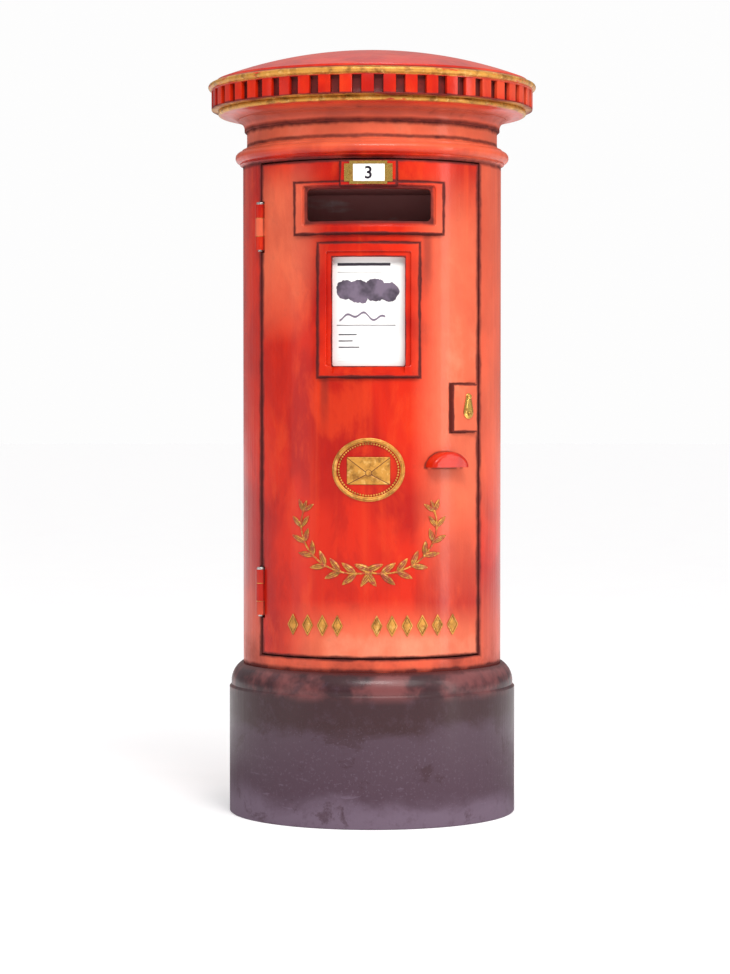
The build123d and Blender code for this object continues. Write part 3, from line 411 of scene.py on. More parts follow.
def door_gap_shade(x, z, y, wide, wobble):
    """Painted shade in the thin gap all round the door, with some grime."""
    past_x = abs(x) - DOOR_EDGE
    past_z = abs(z - (DOOR_LOW + DOOR_HIGH) / 2) - (DOOR_HIGH - DOOR_LOW) / 2
    on_skin = (x * x + y * y).root().fade(DOOR_R + 0.004, DOOR_R + 0.0015)
    line = (abs(past_x.larger(past_z)) + wobble).fade(wide * MM, wide * MM * 0.2)
    return line * front_only(y) * on_skin


def lock_boss_shadow(x, y, z, wobble):
    """Painted shadow along the edge of the lock boss, measured in its own turned frame."""
    across = x * math.cos(LOCK_TURN) + y * math.sin(LOCK_TURN)
    return outline(across, z, LOCK_BOSS, 4.5, wobble) * x.fade(0.05, 0.08)


def pull_hood_shadow(x, y, z, wobble):
    """Painted shade round the foot of the hooded pull and painted shadow in the hollow under it: half an
    ellipse in its own turned frame.
    """
    across = (x * math.cos(PULL_TURN) + y * math.sin(PULL_TURN)) / PULL_WIDE
    up = (z - PULL_FOOT) / PULL_TALL
    reach = (across * across + up * up).root()
    ring = (abs(reach - 1.0) * 0.034 + wobble).fade(5.0 * MM, 1.2 * MM)
    above = z.fade(PULL_FOOT - 0.006, PULL_FOOT)
    return ring.larger(reach.fade(0.8, 0.6)) * above * x.fade(0.05, 0.08)


def drip(x, z, where, top, length):
    """A narrow run of dirty water below a corner."""
    return abs(x - where).fade(0.013, 0.002) * z.fade(top - length, top - 0.01) * z.fade(top + 0.004, top)


def door_soot_and_shade(place, x, y, z):
    """Painted shade, with some soot, on the door: feet of frames, lock boss, pull, slot mouth and door edge;
    grime runs below two corners, and a little darker all over the inside.
    """
    wobble = unsteady(place, 23.0, 0.007)
    lines = door_gap_shade(x, z, y, 7.0, wobble) * 0.95
    for sides, wide in ((SLOT_FRAME, 4.5), (NOTICE_FRAME, 4.5), (TAB_BLOCK, 4.0), (NOTICE_WINDOW, 3.0)):
        lines = lines.larger(outline(x, z, sides, wide, wobble))
    lines = lines.larger(outline(x, z, SLOT_MOUTH, 9.0, wobble) * 0.9)
    lines = lines.larger(lock_boss_shadow(x, y, z, wobble))
    lines = lines.larger(pull_hood_shadow(x, y, z, wobble) * 0.8)
    runs = drip(x, z, 0.112, 1.136, 0.17) + drip(x, z, -0.085, 0.863, 0.14)
    outside = (x * x + y * y).root().fade(DOOR_R - 0.008, DOOR_R - 0.0045)
    return (lines + runs * 0.5) * outside + (1 - outside) * 0.12


def door_fade_and_highlight(place, x, y, z):
    """Where the front is paler: the lit right side, where sun-fade and a painted highlight lie together, and
    the foot and upper left, bleached by sun and road salt.
    """
    # The right band lies where the right panel lights the door: partly sun-fade, partly painted highlight.
    right = x.fade(0.055, 0.165) * z.fade(0.34, 0.70) * z.fade(1.30, 1.12) * 0.64
    foot = z.fade(0.45, 0.345) * x.fade(-0.20, -0.06) * 0.78
    left = x.fade(-0.07, -0.15) * z.fade(0.86, 1.02) * z.fade(1.30, 1.20) * 0.55
    heart = (1 - x.fade(0.02, 0.12)) * (1 - z.fade(0.98, 1.10)) * z.fade(0.42, 0.50)
    return (right.larger(foot).larger(left) - heart * 0.2).larger(0.0) * front_only(y)


print("door edge at x =", round(DOOR_EDGE, 4))


# %% [markdown]
# ## Paint on the shell, the cap and the small fittings
#
# The shell has the same red, but its dirt runs down from the collar and up from the plinth, and its worn
# patches go all the way round. Painted shade sits under and above the collar, at the top of the neck under
# the cap, beside the door and at the plinth joint, and the neck in the cap's shadow and the lit right side
# are painted paler. The cap has its own: the fascia behind the dentils is painted nearly black, painted shade
# between the dentils with some soot, the cove under the rim is painted paler against the cap's shade, and a
# signwriter has run a gold line round the moulding above and below the dentils. The gold is patchy, because
# it is rubbed by every hand that steadies a ladder there.

# %% Soot, painted shade and painted light on shell and cap, and the red finishes
COLLAR_LOW, COLLAR_HIGH, NECK_TOP = 1280 * MM, 1311 * MM, 1351 * MM
PLINTH_TOP = 297 * MM
FASCIA_LOW, FASCIA_HIGH = 1.396, 1.434
DENTIL_FOOT, TOP_MOULDING = 1.3955, 1.4475


def shell_soot_and_shade(place, x, y, z):
    """Painted shade beside the door, under and above the collar, at the top of the neck under the cap and at
    the plinth joint; grime drips below the collar and splashes above the plinth.
    """
    wobble = unsteady(place, 23.0, 0.007)
    gap = door_gap_shade(x, z, y, 8.0, wobble)
    under = abs(z - COLLAR_LOW + wobble).fade(0.008, 0.001) * 0.8
    over = abs(z - COLLAR_HIGH - 0.012 + wobble).fade(0.006, 0.001) * 0.8
    neck = (z + wobble * 2).fade(NECK_TOP - 0.009, NECK_TOP) * 0.9
    drips = place.stretched(38, 38, 2.2).noise(1.0, 3.0, 0.6).fade(0.52, 0.72)
    collar_drips = drips * z.fade(1.02, COLLAR_LOW) * z.fade(COLLAR_LOW + 0.004, COLLAR_LOW) * 0.4
    splash = z.fade(0.40, PLINTH_TOP) * place.noise(13.0, 4.0, 0.65).fade(0.35, 0.7) * 0.5
    foot = abs(z - PLINTH_TOP + wobble).fade(0.011, 0.002) * 0.8
    return gap.larger(under).larger(over).larger(neck).larger(foot) + collar_drips + splash


def shell_fade_and_light(place, x, y, z):
    """Paler: sun-fade with a painted highlight on the lit right side, sun-fade on the back, salt at the foot,
    and painted light on the neck, which lies in the cap's shadow.
    """
    right = x.fade(0.10, 0.24) * z.fade(0.45, 0.80) * 0.50
    foot = z.fade(0.52, 0.33) * 0.42
    back = y.fade(0.05, 0.25) * place.noise(3.0, 2.0, 0.5).fade(0.45, 0.65) * 0.5
    neck = z.fade(1.285, 1.315) * 0.62
    return right.larger(foot).larger(back).larger(neck)


def cap_soot_and_shade(place, x, y, z):
    """Painted shade, with some soot, between the dentils, in the cove, at the cap's joint, on the shelf under
    the dentils and under the top moulding.
    """
    wobble = unsteady(place, 19.0, 0.006)
    reach = (x * x + y * y).root()
    fascia = z.fade(FASCIA_LOW, FASCIA_LOW + 0.003) * z.fade(FASCIA_HIGH, FASCIA_HIGH - 0.003)
    between = reach.fade(0.3140, 0.3105) * fascia
    under = (z + wobble).fade(1.385, 1.375) * (z + wobble).fade(1.358, 1.368) * 0.45
    joint = (z + wobble).fade(1.362, 1.353) * 0.9
    shelf = abs(z - DENTIL_FOOT + wobble).fade(0.004, 0.001) * 0.85
    top = abs(z - TOP_MOULDING + wobble * 0.7).fade(0.003, 0.0005) * reach.fade(0.300, 0.308) * 0.7
    return between.larger(under).larger(joint).larger(shelf).larger(top)


def cap_fade_and_light(place, x, y, z):
    """The dome takes the weather from above; the cove under the rim is painted paler where the cap's shade
    falls, and the right of the dentil band has a painted highlight.
    """
    dome = z.fade(1.452, 1.500) * 0.12
    cove = z.fade(1.390, 1.375) * 0.45
    return dome.larger(cove) + x.fade(0.12, 0.30) * z.fade(1.39, 1.41) * 0.25


def fitting_dirt(place, x, y, z):
    """Grime in patches, all over."""
    return place.noise(31.0, 3.0).fade(0.5, 0.75) * 0.35


door_red = red_enamel("door_red", door_soot_and_shade, door_fade_and_highlight)
shell_red = red_enamel("shell_red", shell_soot_and_shade, shell_fade_and_light)
cap_red = red_enamel("cap_red", cap_soot_and_shade, cap_fade_and_light, chips=0.70)
fitting_red = red_enamel("fitting_red", fitting_dirt)
print("red finishes:", [m.name for m in (door_red, shell_red, cap_red, fitting_red)])

# %% [markdown]
# ## Gold paint
#
# Gold on street furniture is bronze powder in varnish, laid by hand. It covers the high places, misses the
# hollows, and lets the red through where the brush ran dry. On the cap it is one line above the dentils and
# one below. Both kinds share one recipe for the gold itself, and the cap only differs in where it lies. The
# laurel has the same gold with more of it gone. A carved piece can also say where its own hollows are, in a
# value stored on its points, and painted shade darkens them there, along with some random soot.

# %% Gold finishes
GOLD = tint(206, 146, 62)
PALE_GOLD = tint(232, 184, 106)
OLD_GOLD = tint(140, 92, 34)
GOLD_METAL = 0.55
LOW_LINE, HIGH_LINE = 1.3888, 1.4400
HOLLOW = "hollow"


def gold_coat(place):
    """The gold's colour and its shine."""
    smear = place.noise(48.0, 4.0, 0.65)
    grain = place.cells(420.0)
    colour = smear.fade(0.30, 0.58).over(OLD_GOLD, GOLD)
    colour = (place.noise(90.0, 2.0).fade(0.54, 0.72) * 0.7).over(colour, PALE_GOLD)
    return colour, 0.34 + smear * 0.24, grain * 0.3 + smear


def gold_paint(name, bare=0.62, hollow_shade=None):
    """Gold over red. bare is the noise that loses the gold; the last recipe gives painted shade in the carved
    creases.
    """
    material, place = new_finish(name, Specular_IOR_Level=0.5)
    colour, shine, grain = gold_coat(place)
    rubbed = place.noise(120.0, 4.0, 0.7).fade(bare, bare + 0.10)
    colour = (rubbed * 0.8).over(colour, DEEP_RED)
    # Random soot, plus painted shade in the carved creases, from the hollow value and the shade recipe.
    soot = place.noise(60.0, 3.0, 0.6).fade(0.60, 0.74) * 0.3
    carved = place.node("ShaderNodeAttribute", {"attribute_name": HOLLOW}, output="Fac")
    soot = soot.larger(carved * 0.8)
    if hollow_shade:
        soot = soot.larger(hollow_shade(place) * 0.9)
    colour = soot.over(colour, SOOT_AND_SHADE)
    relief = grain * 0.6 - rubbed * 0.8
    bright = (GOLD_METAL - rubbed * 0.5).larger(0.0)
    skin = relief.bump(0.3, 0.0006)
    return feed(material, Base_Color=colour, Roughness=shine, Metallic=bright, Normal=skin)


def line_the_cap(material):
    """Adds the two gold lines to the cap's red."""
    tree = material.node_tree
    shader = tree.nodes["Principled BSDF"]
    red = Wire(tree, shader.inputs["Base Color"].links[0].from_socket)
    rough = Wire(tree, shader.inputs["Roughness"].links[0].from_socket)
    place = Wire(tree).node("ShaderNodeTexCoord", output="Object")
    x, y, z = place.split()
    wobble = (place.noise(12.0, 4.0, 0.65) - 0.5) * 0.009
    low_line = abs(z - LOW_LINE + wobble).fade(0.0072, 0.0042)
    high_line = abs(z - HIGH_LINE + wobble).fade(0.0082, 0.0052)
    reach = (x * x + y * y).root()
    dry = 1 - place.stretched(1, 1, 5).noise(17.0, 4.0, 0.7).fade(0.57, 0.66)
    line = low_line.larger(high_line) * dry * reach.fade(0.298, 0.303)
    colour, shine = gold_coat(place)[:2]
    blended = rough + (shine - rough) * line
    return feed(material, Base_Color=line.over(red, colour), Roughness=blended, Metallic=line * 0.5)


cast_gold = gold_paint("cast_gold")
worn_gold = gold_paint("worn_gold", bare=0.47)
line_the_cap(cap_red)
print("gold finishes ready, metal share", GOLD_METAL)

# %% [markdown]
# ## Plinth black
#
# The plinth is painted black to hide road dirt, and it shows all of it: a violet bloom where rain has
# dried, a paler band of splashed dust at the foot, scuffs from boots. The shoulder, where people rest a
# shoe, is rubbed back to brown. The colour goes by height first, and the noise only moves the borders
# about.

# %% The plinth's finish
PLINTH_BLACK = tint(54, 28, 33)
PLINTH_VIOLET = tint(74, 54, 66)
PLINTH_DUST = tint(106, 89, 105)
SHOULDER_BROWN = tint(120, 66, 66)


def plinth_black(name):
    """Black enamel under road dirt."""
    material, place = new_finish(name, Specular_IOR_Level=0.25, Coat_Roughness=0.16)
    z = place.split()[2]
    cloud = place.stretched(1, 1, 1.6).noise(5.0, 5.0, 0.62, 0.8)
    fine = place.noise(46.0, 4.0, 0.65)
    tide = z + (cloud - 0.5) * 0.11
    colour = tide.fade(0.205, 0.170).over(PLINTH_BLACK, PLINTH_VIOLET)
    colour = (tide.fade(0.075, 0.015) * 0.9).over(colour, PLINTH_DUST)
    colour = (fine.fade(0.50, 0.74) * 0.4).over(colour, PLINTH_VIOLET)
    stains = place.stretched(1, 1, 1.4).noise(9.0, 6.0, 0.7, 0.3)
    colour = (stains.fade(0.45, 0.36) * 0.55).over(colour, PLINTH_BLACK)
    speckle = place.noise(210.0, 2.0, 0.6).fade(0.58, 0.70) * z.fade(0.24, 0.12)
    colour = (speckle * 0.35).over(colour, PLINTH_DUST)
    shoulder = z.fade(0.235, 0.262) * place.noise(11.0, 4.0, 0.6).fade(0.40, 0.62)
    colour = (shoulder * 0.85).over(colour, SHOULDER_BROWN)
    joint = (z + (fine - 0.5) * 0.01).fade(0.289, 0.296)
    colour = (joint * 0.9).over(colour, SOOT_AND_SHADE)
    scuffs = place.stretched(14, 14, 60).noise(1.0, 3.0, 0.6).fade(0.64, 0.70) * z.fade(0.16, 0.05)
    colour = (scuffs * 0.5).over(colour, PLINTH_DUST)
    dull = 0.34 + tide.fade(0.20, 0.02) * 0.34 + fine * 0.12
    coat = (0.18 - tide.fade(0.20, 0.05) * 0.18).larger(0.0)
    relief = brushed(place) + scuffs * 0.4
    skin = relief.bump(0.4, 0.0013)
    return feed(material, Base_Color=colour, Roughness=dull, Coat_Weight=coat, Normal=skin)


cast_black = plinth_black("cast_black")
print("plinth finish ready")

# %% [markdown]
# ## Bare metals inside the box
#
# Open the door and the paint stops: brass lock, zinc-coated bolts, galvanised chute, blacked-steel guard.
# Each metal is known by its surface. Brass tarnishes in patches, zinc plate is even with dull fingerprints,
# galvanised sheet is a mosaic of crystals, and blacked steel has an oily grey bloom. Voronoi cells give the
# crystals, and the rest are soft noise at three scales.

# %% Metal finishes
def metal(name, clean, tarnished, shine, patch, grain_depth=0.0003, crystals=False):
    """A bare metal with tarnish in patches."""
    material, place = new_finish(name, Specular_IOR_Level=0.5)
    blotch = place.noise(patch, 4.0, 0.6)
    hair = place.stretched(500, 500, 24).noise(1.0, 2.0, 0.5)
    dull = blotch.fade(0.46, 0.66)
    if crystals:
        spangle = place.cells(85.0, "Color").split()[0]
        dull = dull * 0.5 + spangle * 0.5
    colour = dull.over(clean, tarnished)
    grime = place.noise(patch * 2.3, 3.0, 0.6).fade(0.62, 0.75) * 0.5
    colour = grime.over(colour, tint(52, 44, 40))
    gloss = shine + dull * 0.2 + grime * 0.25
    bright = 0.95 - grime * 0.7
    relief = hair * 0.4 + blotch
    skin = relief.bump(0.25, grain_depth)
    return feed(material, Base_Color=colour, Roughness=gloss, Metallic=bright, Normal=skin)


# The middles of the chute's sheets, so that a mask can end inside the metal. The top and the ramp slope, and
# their heights are those at the chute's front edge.
CHUTE_SIDE, CHUTE_BACK, CHUTE_FRONT = 123 * MM, -126 * MM, -250 * MM
CHUTE_TOP, TOP_SLOPE = 1.231, 0.096
CHUTE_RAMP, RAMP_SLOPE = 1.153, 0.591
CLOSE = 0.2 * MM


def darken_throat(material):
    """Darkens the throat behind the slot: dark paint on the chute's inside faces, rubbed by letters, which is
    also painted shade for the dark slot.
    """
    tree = material.node_tree
    shader = tree.nodes["Principled BSDF"]
    bare = Wire(tree, shader.inputs["Base Color"].links[0].from_socket)
    gloss = Wire(tree, shader.inputs["Roughness"].links[0].from_socket)
    shiny = Wire(tree, shader.inputs["Metallic"].links[0].from_socket)
    place = Wire(tree).node("ShaderNodeTexCoord", output="Object")
    x, y, z = place.split()
    rubbed = place.stretched(8, 30, 30).noise(1.0, 3.0, 0.6).fade(0.60, 0.78) * 0.3
    between_cheeks = abs(x).fade(CHUTE_SIDE + CLOSE, CHUTE_SIDE - CLOSE)
    before_back = y.fade(CHUTE_BACK + CLOSE, CHUTE_BACK - CLOSE)
    under_top = (z + (y - CHUTE_FRONT) * TOP_SLOPE).fade(CHUTE_TOP + CLOSE, CHUTE_TOP - CLOSE)
    over_ramp = (z + (y - CHUTE_FRONT) * RAMP_SLOPE).fade(CHUTE_RAMP - CLOSE, CHUTE_RAMP + CLOSE)
    throat = between_cheeks * before_back * under_top * over_ramp * (1 - rubbed)
    colour = throat.over(bare, tint(140, 82, 80))
    rough = gloss + throat * 0.3
    return feed(material, Base_Color=colour, Roughness=rough, Metallic=shiny * (1 - throat))


brass = metal("brass", tint(226, 184, 96), tint(150, 108, 52), 0.22, 60.0)
zinc = metal("zinc_plate", tint(196, 196, 192), tint(138, 140, 140), 0.30, 45.0)
galvanised = metal("galvanised_sheet", tint(186, 190, 192), tint(128, 134, 138), 0.34, 7.0, crystals=True)
darken_throat(galvanised)
blacked = metal("blacked_steel", tint(58, 58, 62), tint(32, 32, 35), 0.38, 26.0, 0.0005)
lock_metal = metal("lock_steel", tint(168, 168, 166), tint(104, 98, 90), 0.28, 30.0)
print("metals:", [m.name for m in (brass, zinc, galvanised, blacked, lock_metal)])

# %% [markdown]
# ## Enamelled plates
#
# The notice and the number plate are vitreous enamel: glass on steel, white as paper, with a rust stain
# here and there. The notice's print is plain bars and a blot, since it has to look like print and say
# nothing. Bars are rectangles in the plate's own coordinates, and a little noise gives the blot its ragged
# outline.

# %% White enamel and the notice's print
ENAMEL = tint(243, 242, 240)
INK = tint(48, 42, 52)
BLOT = tint(112, 98, 116)
BLOT_SPOTS = ((-44, 1030, 19), (-19, 1026, 24), (12, 1029, 23), (38, 1025, 20))


def bar(x, z, left, right, middle, thick, wobble):
    """A printed bar, in millimetres."""
    centre, half = (left + right) / 2 * MM, (right - left) / 2 * MM
    ends = (abs(x - centre) + wobble).fade(half, half - 0.0012)
    return ends * abs(z - middle * MM + wobble * 0.5).fade(thick * MM / 2, thick * MM / 2 - 0.0009)


def blot(x, z, wobble):
    """Ink that has spread: four round spots that run into each other (millimetres)."""
    cloud = 0
    for across, up, size in BLOT_SPOTS:
        side, rise = x - across * MM, z - up * MM
        spot = ((side * side + rise * rise).root() + wobble).fade(size * MM, size * MM - 0.0012)
        cloud = spot.larger(cloud)
    return cloud


def white_enamel(name, prints=None):
    """White glass enamel; prints takes the place and adds ink."""
    material, place = new_finish(name, Specular_IOR_Level=0.55, Coat_Roughness=0.05)
    x, _, z = place.split()
    clouds = place.noise(12.0, 3.0, 0.5)
    colour = (clouds.fade(0.45, 0.75) * 0.5).over(ENAMEL, tint(226, 224, 224))
    rust = place.noise(40.0, 4.0, 0.7).fade(0.70, 0.80) * 0.4
    colour = rust.over(colour, tint(168, 128, 96))
    if prints:
        for mask, shade in prints(place, x, z):
            colour = mask.over(colour, shade)
    gloss = 0.16 + clouds * 0.12 + rust * 0.3
    relief = clouds + place.noise(180.0, 2.0) * 0.2 - rust * 0.4
    skin = relief.bump(0.15, 0.0006)
    return feed(material, Base_Color=colour, Roughness=gloss, Coat_Weight=clouds * 0.8, Normal=skin)


def notice_print(place, x, z):
    """The notice: a heading, a blot, a signature with its line, three short lines and small print."""
    wobble = (place.noise(85.0, 2.0, 0.5) - 0.5) * 0.0012
    ragged = (place.noise(50.0, 4.0, 0.6) - 0.5) * 0.016
    yield bar(x, z, -60, 42, 1078, 6.5, wobble), INK
    yield bar(x, z, -60, 26, 1063, 2.2, wobble) * 0.7, INK
    blot_shape = blot(x, z, ragged)
    shade = place.noise(24.0, 3.0, 0.6).fade(0.36, 0.62)
    yield blot_shape, BLOT
    yield blot_shape * shade * 0.8, INK
    scrawl = (x * 190.0).sine() * 0.0045 + (x * 83.0).sine() * 0.004
    pen = abs(z - 0.979 + scrawl + wobble).fade(0.0032, 0.0012) * abs(x + 0.012).fade(0.046, 0.042)
    yield pen, BLOT
    yield bar(x, z, -62, 52, 962, 2.6, wobble), INK
    for row, right in ((944, -22), (932, -30), (920, -17)):
        yield bar(x, z, -58, right, row, 3.2, wobble), INK
    for row in (905, 899, 893):
        yield bar(x, z, -60, 50, row, 1.3, wobble) * 0.35, BLOT


notice_white = white_enamel("notice_white", notice_print)
plate_white = white_enamel("plate_white")
figure_ink = metal("figure_ink", tint(56, 48, 60), tint(30, 26, 34), 0.35, 60.0)
print("enamel finishes ready")


# %% [markdown]
# ## Growing shapes by rule
#
# Dentils, leaves, beads, lozenges and rods repeat, so they aren't modelled one by one: a Geometry Nodes
# tree takes one of them and a few sizes, and lays out the rest. The tree is run once and its result kept as
# a plain mesh, because whoever opens the model later should find a mesh they can edit, in the right place.


# %% The Layout class
class Layout:
    """A Geometry Nodes tree with named sizes, which is run once to make a plain mesh."""

    def __init__(self, name, **sizes):
        self.name = name
        self.tree = bpy.data.node_groups.new(name, "GeometryNodeTree")
        self.tree.interface.new_socket(name="Shape", in_out="OUTPUT", socket_type="NodeSocketGeometry")
        kinds = {int: "NodeSocketInt", float: "NodeSocketFloat", tuple: "NodeSocketVector"}
        self.values = {}
        for label, value in sizes.items():
            made = self.tree.interface.new_socket(name=label, in_out="INPUT", socket_type=kinds[type(value)])
            self.values[made.identifier] = value
        self.entry = self.tree.nodes.new("NodeGroupInput")
        self.start = Wire(self.tree)

    def __getitem__(self, label):
        return Wire(self.tree, self.entry.outputs[label])

    def node(self, kind, settings=None, inputs=None, output=0):
        """Any node of this tree."""
        return self.start.node(kind, settings, inputs, output)

    def part(self, mesh_object):
        """The mesh of another object, as the thing to repeat."""
        return self.node("GeometryNodeObjectInfo", None, {"Object": mesh_object}, output="Geometry")

    def vector(self, x, y, z):
        """A vector from three values."""
        return self.node("ShaderNodeCombineXYZ", None, {0: x, 1: y, 2: z})

    def transform(self, shape, **how):
        """A shape moved, turned or scaled; how names the sockets."""
        return self.node("GeometryNodeTransform", None, {"Geometry": shape, **how})

    def on_points(self, points, part, **how):
        """A part set on every point."""
        return self.node("GeometryNodeInstanceOnPoints", None, {"Points": points, "Instance": part, **how})

    def circle(self, steps, radius):
        """A flat circle, as a curve."""
        inputs = {"Resolution": steps, "Radius": radius}
        return self.node("GeometryNodeCurvePrimitiveCircle", None, inputs)

    def sweep(self, path, section, **how):
        """A section carried along a path."""
        inputs = {"Curve": path, "Profile Curve": section, **how}
        return self.node("GeometryNodeCurveToMesh", None, inputs)

    def join(self, *shapes):
        """Several shapes as one."""
        made = self.tree.nodes.new("GeometryNodeJoinGeometry")
        for shape in shapes:
            self.tree.links.new(shape.socket, made.inputs[0])
        return Wire(self.tree, made.outputs[0])

    def make(self, shape, material):
        """Runs the tree and returns the mesh."""
        real = self.node("GeometryNodeRealizeInstances", None, {0: shape})
        painted = self.node("GeometryNodeSetMaterial", None, {"Geometry": real, "Material": material})
        leave = self.tree.nodes.new("NodeGroupOutput")
        self.tree.links.new(painted.socket, leave.inputs[0])
        holder = bpy.data.objects.new(self.name + "_layout", bpy.data.meshes.new(self.name + "_seed"))
        bpy.context.scene.collection.objects.link(holder)
        modifier = holder.modifiers.new("layout", "NODES")
        modifier.node_group = self.tree
        for identifier, value in self.values.items():
            modifier[identifier] = value
        ready = holder.evaluated_get(bpy.context.evaluated_depsgraph_get())
        mesh = bpy.data.meshes.new_from_object(ready)
        holder.modifiers.remove(modifier)
        bpy.data.objects.remove(holder)
        return mesh


SAME_PLACE = 0.01 * MM


def fitted(name, mesh, body, nodes, angle=35):
    """Cleans a mesh, puts it in the scene, hangs it on the body it rides on, and hides the jig parts it
    stands for.
    """
    work = bmesh.new()
    work.from_mesh(mesh)
    bmesh.ops.remove_doubles(work, verts=work.verts, dist=SAME_PLACE)
    stray = [edge for edge in work.edges if not edge.link_faces]
    bmesh.ops.delete(work, geom=stray, context="EDGES")
    bmesh.ops.recalc_face_normals(work, faces=work.faces)
    for face in work.faces:
        face.smooth = True
    for edge in work.edges:
        edge.smooth = not edge.is_manifold or edge.calc_face_angle(0.0) < math.radians(angle)
    work.to_mesh(mesh)
    open_edges = sum(not edge.is_manifold for edge in work.edges)
    triangles = sum(len(face.verts) - 2 for face in work.faces)
    work.free()
    piece = bpy.data.objects.new(name, mesh)
    bpy.context.scene.collection.objects.link(piece)
    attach(piece, body)
    if nodes:
        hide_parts(*nodes)
    print(f"{name}: {triangles} triangles, {open_edges} open edges")


def kept(name, work, material):
    """A mesh from a work-in-progress."""
    mesh = bpy.data.meshes.new(name)
    work.to_mesh(mesh)
    work.free()
    mesh.materials.append(material)
    return mesh


def stock(name, work, material):
    """A loose part that a layout repeats. It isn't in the scene."""
    return bpy.data.objects.new(name, kept(name, work, material))


def closed_outline(name, places):
    """A loose outline through these places and back to its start, for a sweep to carry along."""
    mesh = bpy.data.meshes.new(name)
    count = len(places)
    mesh.from_pydata(places, [(i, (i + 1) % count) for i in range(count)], [])
    return bpy.data.objects.new(name, mesh)


def lofted(work, loops):
    """Joins loops of points into one skin, closes both ends and turns its faces outwards."""
    for low, high in zip(loops, loops[1:]):
        for k in range(len(low)):
            n = (k + 1) % len(low)
            work.faces.new((low[k], low[n], high[n], high[k]))
    work.faces.new(loops[0])
    work.faces.new(loops[-1])
    bmesh.ops.recalc_face_normals(work, faces=work.faces)
    return work


# %% [markdown]
# ## The cap
#
# The cap is one casting: a shallow dome, a moulding, a band of dentils, and a cove that runs in to the
# neck. A founder turns its pattern against a template, and this does the same. The template's outline is
# drawn once, as half a section, and swept round a circle. The dentils are small rounded blocks spaced round
# the band. A spin tool would do for the first half, but then the blocks would have to be counted and placed
# by hand.


# %% The cap's template
def arc(start, end, bulge, steps):
    """Points after start on an arc to end; bulge is how far its middle stands off to the right of the way."""
    a, b = Vector(start), Vector(end)
    chord = b - a
    half = chord.length / 2
    radius = (half * half + bulge * bulge) / (2 * abs(bulge))
    side = Vector((chord.y, -chord.x)).normalized() * math.copysign(1, bulge)
    centre = (a + b) / 2 - side * (radius - abs(bulge))
    first = math.atan2(a.y - centre.y, a.x - centre.x)
    turn = 2 * math.asin(min(1.0, half / radius)) * math.copysign(1, bulge)
    angles = [first + turn * i / steps for i in range(1, steps + 1)]
    return [(centre.x + radius * math.cos(v), centre.y + radius * math.sin(v)) for v in angles]


def dome_bulge(across, up):
    """How far an arc bulges if it runs from a rim to the top of a dome and is level there."""
    radius = (across * across + up * up) / (2 * up)
    return radius - math.sqrt(radius * radius - (across * across + up * up) / 4)


DENTILS = 48
BAND_BACK, BAND_FRONT = 309.0, 319.5
BAND_LOW, BAND_HIGH = 1397.0, 1431.0
DENTIL_WIDE, DENTIL_DEEP, DENTIL_TALL = 24 * MM, 14.5 * MM, 36 * MM

section = [(205, 1351), (252.5, 1351), (254, 1352.5), (254, 1356)]
section += arc(section[-1], (267, 1374), -4.0, 8) + [(267.5, 1376), (269.5, 1376.6)]
section += arc(section[-1], (296, 1383.2), -3.0, 8) + [(301, 1384)]
section += arc(section[-1], (301, 1393.8), 5.8, 10) + [(318, 1394.9)]
section += [(319.3, 1395.4), (319.5, 1396.2), (319.2, 1396.9), (BAND_BACK + 0.6, 1397.3), (BAND_BACK, 1398.2)]
section += [(BAND_BACK, 1429.6), (BAND_BACK + 0.6, 1430.8), (319.0, 1431.2), (319.5, 1432), (319.5, 1434.0)]
section += [(321.5, 1434.2)] + arc((321.5, 1434.2), (321.5, 1445.8), 4.4, 10) + [(316, 1447.2)]
section += arc(section[-1], (309.5, 1453), -1.6, 6)
section += arc(section[-1], (0, 1510), dome_bulge(309.5, 57), 40)
section += [(0, 1499)] + arc((0, 1499), (297, 1444), -dome_bulge(297, 55), 24)
section += [(297, 1402), (243, 1374), (238, 1363), (205, 1363)]
print("cap template:", len(section), "points, widest", round(max(r for r, h in section), 1), "mm")

# %% Sweep the cap and set the dentils round it
SWEEP_R = 1.0 * MM
CAP_STEPS = 288


def dentil_block(wide, deep, tall):
    """A block with rounded front edges, centred on its own middle."""
    work = bmesh.new()
    bmesh.ops.create_cube(work, size=1.0)
    bmesh.ops.scale(work, vec=(deep, wide, tall), verts=work.verts)
    front = [e for e in work.edges if any(v.co.x > 0 for v in e.verts)]
    bmesh.ops.bevel(work, geom=front, offset=0.0022, segments=3, profile=0.6, affect="EDGES")
    return work


def dentil_ring(layout, block):
    """Blocks spaced round a circle, each turned to face outwards."""
    inputs = {"Vertices": layout["Count"], "Radius": layout["Ring"]}
    ring = layout.node("GeometryNodeMeshCircle", None, inputs)
    number = layout.node("GeometryNodeInputIndex")
    spin = layout.vector(0.0, 0.0, number * (2 * math.pi) / layout["Count"])
    placed = layout.on_points(ring, block, Rotation=spin)
    return layout.transform(placed, Translation=layout.vector(0.0, 0.0, layout["Height"]))


cap_layout = Layout(
    "cap", Count=DENTILS, Steps=CAP_STEPS, Ring=BAND_FRONT * MM - DENTIL_DEEP / 2,
    Height=(BAND_LOW + BAND_HIGH) / 2 * MM,
)
